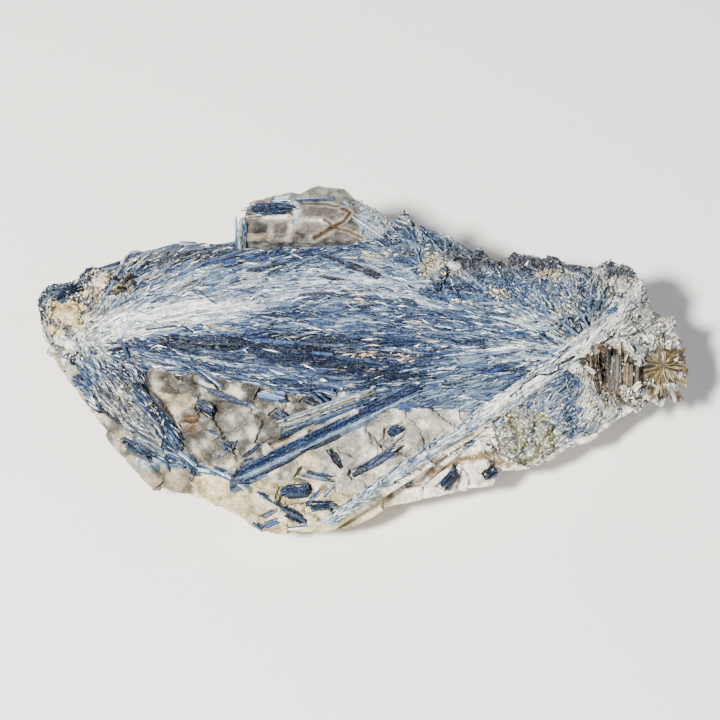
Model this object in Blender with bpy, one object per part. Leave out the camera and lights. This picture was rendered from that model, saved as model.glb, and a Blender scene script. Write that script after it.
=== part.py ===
"""A kyanite blade cluster: a slab of quartz grown through with blue kyanite blades.

The slab lies on its flat broken underside with its broad face up. X runs along the slab, +Y
points to its back, where a block of quartz stands, and Z is up. The origin is in the middle
of the specimen's box, on the surface that it rests on. Plan positions below are in
millimetres and are turned to metres as each mesh is made.
"""

import math
import random

import bmesh
import bpy
from mathutils import Matrix, Vector
from mathutils.geometry import delaunay_2d_cdt

MM = 0.001
SEED = 11
GAP = 0.3  # between pieces that touch

# ---------------------------------------------------------------- driving dimensions, mm
FACE_HEIGHT = 34.0  # the broad face above the table, at the middle
FACE_SLOPE = 0.03  # the face rises towards the right
POCKET_DEPTH = 6.0  # quartz pocket below the kyanite
BAND_DEPTH = 2.5  # quartz band between the long blade and the ridge
LEDGE = 1.6  # plan width of the steps at their edges
FRONT_SHOULDER = 11.0  # rounding of the face into the rim
BACK_SHOULDER = 4.5
UNDERCUT = 15.0  # from the rim in to the flat underside
KYANITE_FLOOR = 19.0  # the kyanite reaches down to about this height
TOP_SPACING = 5.7  # size of the broken facets
BASE_SPACING = 10.0
COLUMN_TOP = 75.0

LEFT_FOCUS = Vector((-74.5, 7.5, 26.0))  # the two points that the blades spread from
RIGHT_FOCUS = Vector((64.0, 0.0, 33.0))

# The slab's widest outline from above, anticlockwise from the left tip: x, y, height.
RIM = [
    (-93, 25, 21), (-91, 15, 19), (-87, 7.5, 17), (-82, 0.5, 15), (-78, -5, 13),
    (-74, -11, 12), (-70, -17, 11), (-66, -22, 11), (-62, -25, 10), (-58, -30, 9),
    (-47.5, -31.5, 11), (-37.5, -37.5, 13), (-27, -45, 13), (-19, -45.5, 14), (-8, -44.5, 14),
    (-1.5, -43.5, 14), (5.5, -39.5, 15), (18, -35.5, 15), (29, -33, 15), (37, -32, 15),
    (39, -28, 16), (53, -25, 16), (57, -21.5, 17), (64, -18.5, 17), (74.5, -10, 17),
    (82, -6, 19), (90, -3.5, 20), (91.5, 0, 21), (90.5, 11, 22), (88, 16.5, 22.5),
    (83, 20.5, 22), (81, 27.5, 21), (75, 31, 19), (68, 31, 18), (61, 32, 18), (51, 34, 17), (40, 34, 17),
    (33.5, 38, 17), (26, 41, 17), (18, 42, 17), (10, 45.5, 17), (0, 48.5, 17),
    (-8, 50.5, 17), (-20, 50, 17), (-30, 47, 17), (-36, 41, 17), (-42, 40.5, 16.5),
    (-56, 39, 16), (-66, 37.5, 16), (-73, 36, 16), (-80, 34.5, 17), (-86, 32.5, 18),
    (-91, 30, 20),
]
# The quartz pocket in the face, below the main spray.
POCKET = [
    (-58.5, -1.5), (-61, -5), (-58, -11), (-54.5, -18), (-50.5, -24), (-46.5, -29),
    (-38, -30), (-30.5, -26.5), (-24.5, -22.5), (-20, -20), (-14, -17), (-2, -13.5),
    (-5.5, -11.5), (-16.5, -9.8), (-27, -7.5), (-36, -5.2), (-46, -3),
]
# The quartz band between the long blue blade and the pale ridge.
BAND = [
    (-30, -34.5), (-16, -29), (-5.5, -24.5), (5.5, -20), (14, -17), (22, -15.8),
    (30, -16.5), (31, -18.5), (24, -23.5), (15, -30), (5, -36), (-5, -41), (-11, -44),
    (-19, -43.5), (-27, -41),
]
# What the grown-together kyanite covers: all of the face but the quartz in front.
KYANITE = [
    (-100, 8), (-88, 3.5), (-79.5, -4.5), (-71.7, -12.3), (-64, -19.3), (-58, -23.5),
    (-51.5, -27.5), (-46.5, -29), (-50.5, -24), (-54.5, -18), (-58, -11), (-61, -5),
    (-58.5, -1.5), (-46, -3), (-36, -5.2), (-27, -7.5), (-16.5, -9.8), (-5.5, -11.5),
    (-2, -13.5), (2, -17.5), (14, -16.5), (22, -15.8), (30, -16.5), (31, -18.5),
    (24, -23.5), (15, -30), (11, -32.5), (14.5, -35), (22, -30.5), (30, -25.5),
    (35.5, -22.5), (37.5, -27), (42, -30), (50, -32), (100, -32), (100, 65), (-100, 65),
]
MICA = [
    (56, -5), (64.5, -11), (70, -13), (80, -15), (92, -14), (98, -8), (98, 9.5),
    (84.5, 10), (78.5, 6.5), (72, 5.4), (67, 3), (63.5, -0.8),
]
MICA_HOLLOW = [(65, -8), (65.5, 0), (72.5, 3.2), (79.5, 2.5), (81, -4.5), (74, -8.5)]
DRUSE = [
    (36, -20.6), (41, -18.4), (49, -16.8), (55.7, -16.2), (58, -19.5), (52.5, -23.5),
    (44.5, -25.8), (38.5, -25),
]

# The pale ridge's crest, from the back right corner to the front: x, y, height.
RIDGE = [
    (79, 21.5, 35), (63.5, 1, 36.5), (49, -10, 36.5), (32.5, -21.4, 34.5), (16, -31.3, 30),
    (2.7, -38.5, 24.5), (-9, -44.6, 18),
]
# The sill of quartz that carries the long blue blade, from the spray to the front.
SILL = [(17, -12, 33.6), (-8, -21.8, 28.2), (-33, -32.8, 19.5)]


# ---------------------------------------------------------------- plan geometry
def along(line, x, y):
    """(distance, value there) of a polyline of x, y, value points."""
    best = (1e9, 0.0)
    for a, b in zip(line, line[1:]):
        dx, dy = b[0] - a[0], b[1] - a[1]
        t = ((x - a[0]) * dx + (y - a[1]) * dy) / (dx * dx + dy * dy)
        t = min(1.0, max(0.0, t))
        gone = math.hypot(x - a[0] - t * dx, y - a[1] - t * dy)
        if gone < best[0]:
            best = (gone, a[2] + t * (b[2] - a[2]) if len(a) > 2 else 0.0)
    return best


def loop_of(polygon):
    return list(polygon) + [polygon[0]]


def inside(polygon, x, y):
    found = False
    for a, b in zip(polygon, loop_of(polygon)[1:]):
        if (a[1] > y) != (b[1] > y) and x < a[0] + (y - a[1]) * (b[0] - a[0]) / (b[1] - a[1]):
            found = not found
    return found


def depth_in(polygon, x, y):
    """How far inside the polygon a point is; negative outside."""
    gone = along(loop_of(polygon), x, y)[0]
    return gone if inside(polygon, x, y) else -gone


def turning(polygon):
    """1 if the polygon runs anticlockwise, -1 if clockwise."""
    pairs = zip(polygon, loop_of(polygon)[1:])
    return 1 if sum(a[0] * b[1] - b[0] * a[1] for a, b in pairs) > 0 else -1


def grown(polygon, by):
    """The polygon moved outwards by a distance, with square corners."""
    moved, turn = [], turning(polygon)
    for before, here, after in zip([polygon[-1]] + polygon[:-1], polygon, loop_of(polygon)[1:]):
        one = Vector((here[1] - before[1], before[0] - here[0])).normalized() * turn
        two = Vector((after[1] - here[1], here[0] - after[0])).normalized() * turn
        out = (one + two) / max(0.35, 1 + one.dot(two))
        moved.append((here[0] + out.x * by, here[1] + out.y * by))
    return moved


# ---------------------------------------------------------------- the slab's surfaces
def step_down(polygon, depth, x, y):
    """A step that is complete at the polygon's edge and starts a ledge's width outside it."""
    return depth * min(1.0, max(0.0, depth_in(polygon, x, y) / LEDGE + 1.0))


def bump(x, y, at, height, radius):
    return height * math.exp(-((x - at[0]) ** 2 + (y - at[1]) ** 2) / radius**2)


def face_height(x, y):
    z = FACE_HEIGHT + FACE_SLOPE * x
    z -= 0.24 * max(0.0, -58 - x)  # the left end falls away
    z -= 0.55 * max(0.0, x - 79)  # and the right end
    z -= (0.55 if x < 5 else max(0.3, 0.55 - 0.01 * (x - 5))) * max(0.0, -16 - y)  # front dip
    z -= 0.08 * max(0.0, y - 20) * min(1.0, max(0.0, (x - 8) / 15))  # the back right leans back
    z += bump(x, y, (12, 39), 7.0, 9.0)  # rubble beside the block
    z += bump(x, y, (27, 34), 3.0, 8.0)
    z += bump(x, y, (-2, 21), 2.0, 16.0)
    z += bump(x, y, (-20, 6), 1.6, 22.0)
    gone, crest = along(RIDGE, x, y)
    ahead = (x - 79) * 0.60 - (y - 21) * 0.80  # positive to the ridge's front right
    if ahead > 0:
        z = min(z, crest - 0.55 * gone)
    gone_sill, sill = along(SILL, x, y)
    z -= step_down(POCKET, POCKET_DEPTH, x, y)
    z -= step_down(BAND, BAND_DEPTH, x, y)
    z -= step_down(MICA_HOLLOW, 5.0, x, y)
    if ahead <= 0:
        z = max(z, crest - 1.3 * gone)
    return max(z, sill - 0.9 * gone_sill)


def shoulder(x, y):
    """Width of the rounding at the rim: broad in front, tight at the back."""
    share = min(1.0, max(0.0, (y + 12) / 30))
    return FRONT_SHOULDER + (BACK_SHOULDER - FRONT_SHOULDER) * share


def top_height(x, y):
    gone, rim = along(loop_of(RIM), x, y)
    share = min(1.0, gone / shoulder(x, y))
    return rim + (face_height(x, y) - rim) * math.sin(share * math.pi / 2)


def base_height(x, y):
    """The underside: flat where it rests, with a hollow, and rising to the rim."""
    gone, rim = along(loop_of(RIM), x, y)
    reach = UNDERCUT + 5.0 * math.sin(0.09 * x + 1.0) * math.cos(0.13 * y)
    rise = max(0.0, 1.0 - gone / reach)
    hollow = max(0.0, 7.0 * math.sin(0.05 * x + 0.6) * math.sin(0.08 * y + 2.6) - 3.0)
    return rim * rise**1.4 + (hollow if gone > reach else 0.0)


# ---------------------------------------------------------------- meshes
def scattered(outline, spacing, lines, rng, margin=0.45):
    """Points over the outline on a shaken triangular grid, clear of the given lines."""
    xs, ys = [p[0] for p in outline], [p[1] for p in outline]
    points, row = [], 0
    y = min(ys)
    while y < max(ys):
        x = min(xs) + (spacing / 2 if row % 2 else 0)
        while x < max(xs):
            px = x + rng.uniform(-0.32, 0.32) * spacing
            py = y + rng.uniform(-0.32, 0.32) * spacing
            clear = all(along(line, px, py)[0] > 0.3 * spacing for line in lines)
            if clear and depth_in(outline, px, py) > margin * spacing:
                points.append((px, py))
            x += spacing
        y += spacing * math.sqrt(3) / 2
        row += 1
    return points


def triangles(outline, points, lines):
    """Plan triangles over the outline: (places, faces, where each outline point went)."""
    places = [Vector(p[:2]) for p in outline]
    edges = [(i, (i + 1) % len(outline)) for i in range(len(outline))]
    for line in lines:
        first = len(places)
        places += [Vector(p[:2]) for p in line]
        edges += [(first + i, first + i + 1) for i in range(len(line) - 1)]
    places += [Vector(p) for p in points]
    ring = [list(range(len(outline)))]
    found, _, faces, origins, _, _ = delaunay_2d_cdt(places, edges, ring, 1, 1e-4)
    ends = {i: n for n, ids in enumerate(origins) for i in ids if i < len(outline)}
    return found, faces, [ends[i] for i in range(len(outline))]


def solid_between(outline, top, base, lines=(), spacing=(6, 9), shake=(0, 0), seed=SEED):
    """A closed solid between two surfaces over one outline. Where the outline has heights
    of its own, both surfaces meet there; otherwise a wall stands around it."""
    rng = random.Random(seed)
    shared = len(outline[0]) > 2
    bm = bmesh.new()
    rings = []
    for upper in (True, False):
        surface = top if upper else base
        own_lines = list(lines) if upper else []
        step, rough = (spacing[0], shake[0]) if upper else (spacing[1], shake[1])
        points = scattered(outline, step, own_lines, rng)
        places, faces, ends = triangles(outline, points, own_lines)
        rim_place = {n: i for i, n in enumerate(ends)}
        verts = []
        for n, p in enumerate(places):
            if n in rim_place and shared:
                i = rim_place[n]
                verts.append(rings[0][i] if rings else bm.verts.new((*outline[i][:3],)))
                continue
            z = surface(p.x, p.y)
            if n not in rim_place and z > 0:
                z = max(0.0, z + rng.uniform(-rough, rough))
            verts.append(bm.verts.new((p.x, p.y, z)))
        for face in faces:
            bm.faces.new([verts[i] for i in face])
        rings.append([verts[n] for n in ends])
    if not shared:
        upper, lower = rings
        for i in range(len(outline)):
            j = (i + 1) % len(outline)
            bm.faces.new((upper[i], upper[j], lower[j], lower[i]))
    bmesh.ops.triangulate(bm, faces=bm.faces)
    bmesh.ops.recalc_face_normals(bm, faces=bm.faces)
    return bm


def mesh_object(name, bm):
    """An object from a bmesh in millimetres."""
    bmesh.ops.transform(bm, matrix=Matrix.Scale(MM, 4), verts=bm.verts)
    mesh = bpy.data.meshes.new(name)
    bm.to_mesh(mesh)
    bm.free()
    made = bpy.data.objects.new(name, mesh)
    bpy.context.scene.collection.objects.link(made)
    return made


def drop_folded_faces(mesh):
    """Joins points that lie together, and removes faces that lie back to back."""
    bm = bmesh.new()
    bm.from_mesh(mesh)
    bmesh.ops.remove_doubles(bm, verts=bm.verts, dist=0.015 * MM)
    bmesh.ops.dissolve_degenerate(bm, edges=bm.edges, dist=0.01 * MM)
    alike = {}
    for face in bm.faces:
        alike.setdefault(frozenset(face.verts), []).append(face)
    folded = [face for faces in alike.values() if len(faces) > 1 for face in faces]
    bmesh.ops.delete(bm, geom=folded, context="FACES")
    bm.to_mesh(mesh)
    bm.free()


def carved(target, operation, tool, overlapping=False):
    """Applies one Boolean to target with tool, and removes tool."""
    modifier = target.modifiers.new("cut", "BOOLEAN")
    modifier.operation = operation
    modifier.solver = "EXACT"
    modifier.use_self = overlapping
    modifier.object = tool
    graph = bpy.context.evaluated_depsgraph_get()
    result = bpy.data.meshes.new_from_object(target.evaluated_get(graph))
    target.modifiers.clear()
    target.data = result
    bpy.data.objects.remove(tool)
    drop_folded_faces(result)
    return target


def copied(source, name):
    made = bpy.data.objects.new(name, source.data.copy())
    bpy.context.scene.collection.objects.link(made)
    return made


def column(polygon, floor, grow, rough=2.5):
    """A tall block over a polygon, with a broken floor: what one mineral takes of the slab."""
    bm = solid_between(
        polygon, lambda x, y: COLUMN_TOP,
        lambda x, y: floor + rough * math.sin(0.21 * x) * math.cos(0.17 * y + 0.4),
        spacing=(60, 11),
    )
    moved = {(round(a[0], 3), round(a[1], 3)): b for a, b in zip(polygon, grown(polygon, grow))}
    for v in bm.verts:
        if v.co.z < COLUMN_TOP - 1:
            v.co.z -= 1.6 * grow
        v.co.xy = moved.get((round(v.co.x, 3), round(v.co.y, 3)), v.co.xy)
    return mesh_object("column", bm)


def blade(bm, start, end, width, thick, roll=0.0, grow=0.0, slant=0.5, taper=0.75):
    """Adds a flat blade with bevelled long edges and slanted ends, from start to end."""
    start, end = Vector(start), Vector(end)
    axis = (end - start).normalized()
    side = axis.cross(Vector((0, 0, 1))).normalized()
    turn = Matrix.Rotation(roll, 3, axis)
    side, up = turn @ side, turn @ side.cross(axis)
    half, high = width / 2 + grow, thick / 2 + grow
    section = [(-1, -1), (1, -1), (1, 0.4), (0.65, 1), (-0.65, 1), (-1, 0.4)]
    if width < 3.2:
        section = [(-1, -1), (1, -1), (1, 0.3), (0.5, 1), (-1, 1)]
    rings = []
    for centre, size, lean in ((start - axis * grow, 1.0, -slant), (end + axis * grow, taper, slant)):
        rings.append([
            bm.verts.new(centre + side * half * s * size + up * high * u * size + axis * lean * s * half)
            for s, u in section
        ])
    count = len(section)
    for i in range(count):
        j = (i + 1) % count
        bm.faces.new((rings[0][i], rings[0][j], rings[1][j], rings[1][i]))
    bm.faces.new(rings[0][::-1])
    bm.faces.new(rings[1])


def blades_object(blades, grow=0.0):
    bm = bmesh.new()
    for values in blades:
        blade(bm, grow=grow, **values)
    bmesh.ops.recalc_face_normals(bm, faces=bm.faces)
    return mesh_object("blades", bm)


def hull_object(name, points, grow=0.0):
    """A convex crystal body around the points, grown outwards from its middle."""
    centre = sum((Vector(p) for p in points), Vector()) / len(points)
    reach = [max(abs(p[k] - centre[k]) for p in points) for k in range(3)]
    bm = bmesh.new()
    for p in points:
        bm.verts.new([centre[k] + (p[k] - centre[k]) * (1 + grow / reach[k]) for k in range(3)])
    found = bmesh.ops.convex_hull(bm, input=bm.verts)
    spare = set(found["geom_interior"] + found["geom_unused"])
    bmesh.ops.delete(bm, geom=[v for v in bm.verts if v in spare], context="VERTS")
    bmesh.ops.recalc_face_normals(bm, faces=bm.faces)
    return mesh_object(name, bm)


def without_crumbs(target):
    """Keeps the largest connected body of a broken mesh."""
    bm = bmesh.new()
    bm.from_mesh(target.data)
    bmesh.ops.triangulate(bm, faces=bm.faces)
    left, bodies = set(bm.verts), []
    while left:
        stack, body = [left.pop()], []
        while stack:
            here = stack.pop()
            body.append(here)
            for edge in here.link_edges:
                other = edge.other_vert(here)
                if other in left:
                    left.discard(other)
                    stack.append(other)
        bodies.append(body)
    bodies.sort(key=len)
    for body in bodies[:-1]:
        bmesh.ops.delete(bm, geom=body, context="VERTS")
    bm.to_mesh(target.data)
    bm.free()
    return target


def finished(target, name, material):
    target = without_crumbs(target)
    target.name = target.data.name = name
    target.data.materials.clear()
    target.data.materials.append(material)
    return target


def material(name, color, roughness, metallic=0.0):
    made = bpy.data.materials.new(name)
    made.use_nodes = True
    shader = made.node_tree.nodes["Principled BSDF"]
    shader.inputs["Base Color"].default_value = (*color, 1.0)
    shader.inputs["Roughness"].default_value = roughness
    shader.inputs["Metallic"].default_value = metallic
    return made


# ---------------------------------------------------------------- blades of the spray
# Fans of blades: focus, first and last bearing, nearest and farthest start, count, lengths,
# widths. Bearings are in degrees from +X.
FANS = [
    (LEFT_FOCUS, -20, 34, 8, 28, 11, (22, 34), (2.6, 4.6)),
    (LEFT_FOCUS, -16, 27, 34, 58, 11, (24, 38), (2.8, 5.0)),
    (LEFT_FOCUS, -13, 20, 62, 82, 7, (18, 30), (2.8, 4.6)),
    (LEFT_FOCUS, 40, 75, 8, 18, 3, (12, 20), (2.6, 4.0)),
    (RIGHT_FOCUS, 156, 191, 8, 22, 7, (18, 30), (2.6, 4.4)),
    (RIGHT_FOCUS, 158, 188, 30, 52, 6, (20, 32), (2.8, 4.6)),
    (RIGHT_FOCUS, 105, 150, 8, 26, 6, (12, 22), (3.0, 5.0)),
]
# Blades that lie where they fell out of line: x, y, bearing, length, width.
STRAYS = [
    (22, 24, 62, 18, 4.0), (36, 26, 118, 13, 4.5), (47, 22, 38, 15, 3.6), (58, 25, 140, 13, 4.6),
    (68, 22, 70, 12, 4.0), (30, 14, 20, 20, 3.6), (71, 25, 12, 11, 3.6), (13, 35, 105, 11, 4.2),
    (-58, 33, 8, 18, 3.8), (-72, 27, -28, 15, 4.2), (-44, 35, -12, 16, 3.4), (-83, 20, 75, 12, 4.0),
    (-80, 10, 60, 11, 3.4), (50, 30, 5, 15, 3.8),
]
# Blades down the left flank, from the focus towards the front: x, y, x, y, width.
FLANK = [
    (-71.5, -2, -63.8, -9.5, 3.0), (-64, -9.5, -49.5, -23.5, 4.4), (-71, -7, -60, -18, 3.6),
    (-80, 1, -73, -8, 3.4), (-63, -14.5, -54.5, -23, 3.0),
]
# The long straight crystals of the pale ridge: share along it, share along it, width.
RIDGE_BLADES = [(0.0, 0.24, 4.2), (0.17, 0.5, 4.6), (0.43, 0.76, 4.4), (0.7, 1.0, 4.0)]
# The long blue blade and the short one beside it: from, to, width, thickness.
LONG_BLADE = ((-35.4, -33.6, 20.6), (17.2, -12.2, 34.4), 3.8, 3.4)
SHORT_BLADE = ((-21.6, -21.0, 27.2), (4.0, -14.3, 33.4), 4.0, 3.2)


def on_ridge(share):
    spans = [math.dist(a, b) for a, b in zip(RIDGE, RIDGE[1:])]
    left = share * sum(spans)
    for a, b, span in zip(RIDGE, RIDGE[1:], spans):
        if left <= span or b is RIDGE[-1]:
            return Vector(a).lerp(Vector(b), min(1.0, left / span))
        left -= span


def laid(x, y, bearing, length, width, thick, rise, roll):
    """A blade that lies in the top surface, a part of its thickness proud of it."""
    step = Vector((math.cos(bearing), math.sin(bearing)))
    ends = []
    for share in (0.12, 0.88):
        px, py = x + step.x * length * share, y + step.y * length * share
        ends.append(Vector((px, py, top_height(px, py) + rise - thick / 2)))
    reach = (ends[1] - ends[0]) * 0.12 / 0.76
    return {"start": ends[0] - reach, "end": ends[1] + reach, "width": width,
            "thick": thick, "roll": roll}


def spray_blades():
    rng = random.Random(SEED)
    made = []
    for focus, first, last, near, far, count, lengths, widths in FANS:
        for i in range(count):
            bearing = math.radians(first + (last - first) * (i + rng.uniform(0.2, 0.8)) / count)
            start = rng.uniform(near, far)
            length = rng.uniform(*lengths)
            x = focus.x + math.cos(bearing) * start
            y = focus.y + math.sin(bearing) * start
            while length > 8 and depth_in(RIM, x + math.cos(bearing) * length,
                                          y + math.sin(bearing) * length) < 2:
                length -= 2
            if depth_in(RIM, x, y) < 2 or length <= 8:
                continue
            bearing += math.radians(rng.uniform(-4, 4))
            made.append(laid(x, y, bearing, length, rng.uniform(*widths), 4.0,
                             rng.uniform(0.7, 1.9), rng.uniform(-0.35, 0.35)))
    for x, y, bearing, length, width in STRAYS:
        turn = math.radians(bearing)
        x -= math.cos(turn) * length / 2
        y -= math.sin(turn) * length / 2
        made.append(laid(x, y, turn, length, width, 4.2, rng.uniform(1.0, 2.2),
                         rng.uniform(-0.4, 0.4)))
    return made


def free_blades():
    """Blades of the spray that reach out over the quartz."""
    made = []
    for x, y, to_x, to_y, width in FLANK:
        length = math.dist((x, y), (to_x, to_y))
        made.append(laid(x, y, math.atan2(to_y - y, to_x - x), length, width, 3.6, 1.3, 0.1))
    for n, (first, last, width) in enumerate(RIDGE_BLADES):
        down = Vector((0, 0, -1.1 + 0.3 * (n % 2)))
        made.append({"start": on_ridge(first) + down, "end": on_ridge(last) + down,
                     "width": width, "thick": 4.4, "roll": 0.35})
    for start, end, width, thick in (LONG_BLADE, SHORT_BLADE):
        made.append({"start": start, "end": end, "width": width, "thick": thick, "roll": 0.2})
    return made


# ---------------------------------------------------------------- small blades in the quartz
# Each lies by itself: name, x, y to x, y, width, thickness, height proud of the quartz.
LOOSE = [
    ("pocket_needle", -46.5, -5.8, -29.5, -14.2, 1.5, 1.6, 0.8),
    ("pocket_pale_blade", -28.5, -9.6, -19.5, -11.8, 2.6, 2.0, 1.1),
    ("pocket_stub", -45.0, -11.6, -40.0, -15.4, 3.0, 2.4, 1.3),
    ("pocket_dark_blade", -39.8, -21.4, -34.2, -25.6, 2.4, 2.2, 1.2),
    ("pocket_chip", -24.0, -15.2, -19.6, -17.8, 2.4, 2.0, 1.1),
    ("pocket_splinter", -16.0, -11.6, -10.0, -14.4, 1.5, 1.6, 0.8),
    ("band_bar", -8.5, -25.8, -4.8, -30.4, 1.8, 2.0, 1.0),
    ("band_pale_blade", -17.4, -31.4, -6.4, -33.2, 1.7, 1.8, 0.9),
    ("band_blue_blade", -2.6, -32.6, 12.3, -25.2, 2.6, 2.2, 1.2),
    ("band_chip", 7.2, -22.6, 12.0, -20.8, 2.4, 2.0, 1.1),
    ("rim_chunk", -22.4, -36.0, -13.2, -35.6, 3.6, 3.4, 1.6),
    ("rim_splinter", -14.6, -39.2, -5.6, -38.6, 2.0, 2.2, 1.1),
    ("rim_blade_front", -21.6, -39.6, -14.4, -42.8, 2.2, 2.6, 1.3),
    ("rim_blade_right", 26.7, -29.8, 22.2, -33.2, 2.6, 3.0, 1.4),
    ("rim_blade_corner", 37.4, -28.0, 34.4, -30.4, 2.4, 3.0, 1.4),
    ("rim_blade_left", -67.0, -18.0, -55.5, -25.8, 2.0, 2.6, 1.2),
    ("left_end_blade", -87.6, 23.6, -79.0, 26.0, 3.0, 3.0, 1.5),
]
# Blades grown on the block: name, from, to, width, thickness, roll.
ON_BLOCK = [
    ("block_cap_blade", (-32.4, 38.6, 47.2), (-17.5, 38.8, 48.6), 3.4, 2.4, 0.5),
    ("block_side_blade", (-33.8, 34.6, 35.4), (-33.2, 36.4, 44.8), 2.6, 2.2, 0.0),
]
# The clear quartz block: its corners, and those of the lump behind it.
BLOCK_CORNERS = [
    (-32, 35, 30), (-14, 34.5, 30), (6, 35.5, 30), (9, 39, 31), (5, 43, 30), (-6, 45, 29),
    (-20, 45.5, 29), (-31, 42, 30),
    (-33, 34.5, 38), (-14, 34, 37.5), (6.5, 35, 38.5), (9.5, 39.5, 39), (5.5, 43.5, 39),
    (-6, 46, 38), (-20, 46.5, 38), (-32, 43, 38),
    (-32.6, 37.4, 47.5), (-17, 38.2, 49), (-8, 38.6, 48), (1, 39.2, 46), (6.5, 39.5, 43),
    (4, 42.5, 43), (-6, 44.5, 46), (-20, 44.5, 47.4), (-31, 41.6, 46.6),
]
LUMP_CORNERS = [
    (-20, 40, 38), (0, 41, 38), (2, 45.5, 38), (-7, 48.5, 38), (-18, 48.5, 38), (-21, 46, 38),
    (-17, 43.6, 48.4), (-9, 43.4, 49.4), (-2.5, 43, 47), (-4.5, 46.4, 46.4), (-12, 47, 47.2),
]
VUG_CRYSTAL = [
    (-71.2, 22.7, 24), (-65.6, 22.3, 24), (-65, 26, 24), (-70.2, 26.8, 24),
    (-70.9, 23, 30.4), (-66.2, 22.8, 31.4), (-65.8, 25.6, 30.4), (-69.8, 26.2, 29.8),
    (-68.4, 24.2, 32.2),
]
WHITE_CRYSTAL = [
    (22.4, 25.4, 30), (29, 26, 30), (29.6, 29, 30), (22.8, 29, 30),
    (22.8, 25.8, 36.4), (28.4, 26.4, 36.2), (28.8, 28.4, 35.2), (23.4, 28.4, 35.6),
    (25.6, 27, 38.4),
]
# Mica plates in the hollow at the right end: x, y, z to x, y, z, width, thickness, roll.
PLATES = [
    (70, -3, 29, 69, 4.5, 34, 7, 1.2, 1.35), (73, -3.5, 28, 73, 5, 33.5, 7.5, 1.1, 1.5),
    (76, -4, 27, 77, 5.5, 32.5, 7.5, 1.2, 1.62), (67, -2.5, 30, 65.5, 2.5, 35.5, 6, 1.1, 1.25),
    (80, 3, 27, 90.5, 6, 24, 7, 1.6, 0.5), (79, 0, 27, 91, 1, 23.5, 7, 1.6, 0.3),
    (79, -2, 26.5, 89.5, -2.5, 22, 7, 1.6, 0.1), (77, -3.5, 26, 85, -5.5, 21, 7, 1.6, -0.1),
    (75, -5, 26, 79, -8.5, 21, 6.5, 1.6, -0.3), (80, 6, 28, 89, 12, 25.5, 6.5, 1.6, 0.8),
]
# Druse crystals: x, y, width, height above the quartz.
POINTS = [
    (40.6, -21.6, 3.6, 2.2), (45, -20.3, 4.0, 2.6), (50, -19.7, 4.0, 2.6),
    (54.4, -18.9, 3.0, 2.0), (43, -23.8, 3.0, 1.8), (47.6, -23, 3.6, 2.2),
    (51.8, -21.9, 2.8, 1.8),
]


def loose_blade(x, y, to_x, to_y, width, thick, proud, grow=0.0):
    ends = [Vector((px, py, top_height(px, py) + proud - thick / 2))
            for px, py in ((x, y), (to_x, to_y))]
    return blades_object([{"start": ends[0], "end": ends[1], "width": width, "thick": thick,
                           "roll": 0.12, "slant": 0.3}], grow)


def block_blade(start, end, width, thick, roll, grow=0.0):
    return blades_object([{"start": start, "end": end, "width": width, "thick": thick,
                           "roll": roll}], grow)


def point_crystal(x, y, width, height):
    """A six-sided crystal with a pyramid on top, standing in the quartz."""
    z = top_height(x, y)
    ring = [(x + width / 2 * math.cos(a), y + width / 2 * math.sin(a))
            for a in (math.radians(60 * k + 7 * x) for k in range(6))]
    corners = [(px, py, z - 3) for px, py in ring] + [(px, py, z + height * 0.4) for px, py in ring]
    return hull_object("point", corners + [(x, y, z + height)])


# ---------------------------------------------------------------- the build
for old in list(bpy.data.objects):
    bpy.data.objects.remove(old)

KYANITE_BLUE = material("kyanite_blue", (0.10, 0.19, 0.38), 0.35)
KYANITE_DARK = material("kyanite_dark", (0.03, 0.07, 0.18), 0.32)
KYANITE_PALE = material("kyanite_pale", (0.45, 0.58, 0.74), 0.38)
QUARTZ = material("quartz_cream", (0.66, 0.61, 0.53), 0.45)
QUARTZ_CLEAR = material("quartz_clear", (0.40, 0.36, 0.32), 0.15)
QUARTZ_DRUSE = material("quartz_druse", (0.58, 0.55, 0.36), 0.35)
MICA_BROWN = material("mica_brown", (0.26, 0.17, 0.08), 0.3, 0.1)
GARNET = material("garnet_brown", (0.20, 0.06, 0.04), 0.3)

slab = mesh_object("slab", solid_between(
    RIM, top_height, base_height, lines=[[p[:2] for p in RIDGE[1:-2]]],
    spacing=(TOP_SPACING, BASE_SPACING), shake=(0.75, 0.9)))

# Small pieces first: everything larger is cut clear of them.
clearances = []
for name, *values in LOOSE:
    dark = name in ("pocket_dark_blade", "band_bar", "rim_chunk", "left_end_blade")
    shade = KYANITE_DARK if dark else KYANITE_PALE if "pale" in name else KYANITE_BLUE
    finished(loose_blade(*values), name, shade)
    clearances.append(loose_blade(*values, grow=GAP))
for name, corners, shade in (("brown_crystal", VUG_CRYSTAL, GARNET),
                             ("white_crystal", WHITE_CRYSTAL, QUARTZ)):
    finished(hull_object(name, corners), name, shade)
    clearances.append(hull_object("clear", corners, GAP * 1.3))

block = hull_object("block", BLOCK_CORNERS)
block = carved(block, "UNION", hull_object("lump", LUMP_CORNERS))
for name, *values in ON_BLOCK:
    finished(block_blade(*values), name, KYANITE_DARK)
    block = carved(block, "DIFFERENCE", block_blade(*values, grow=GAP))
    clearances.append(block_blade(*values, grow=GAP))
for corners in (BLOCK_CORNERS, LUMP_CORNERS):
    clearances.append(hull_object("clear", corners, GAP * 1.5))

# The kyanite: its share of the slab with the spray on it, and the blades that reach out.
kyanite = carved(copied(slab, "kyanite"), "UNION", blades_object(spray_blades()), True)
kyanite = carved(kyanite, "INTERSECT", column(KYANITE, KYANITE_FLOOR, 0.0))
kyanite = carved(kyanite, "UNION", blades_object(free_blades()), True)

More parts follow.
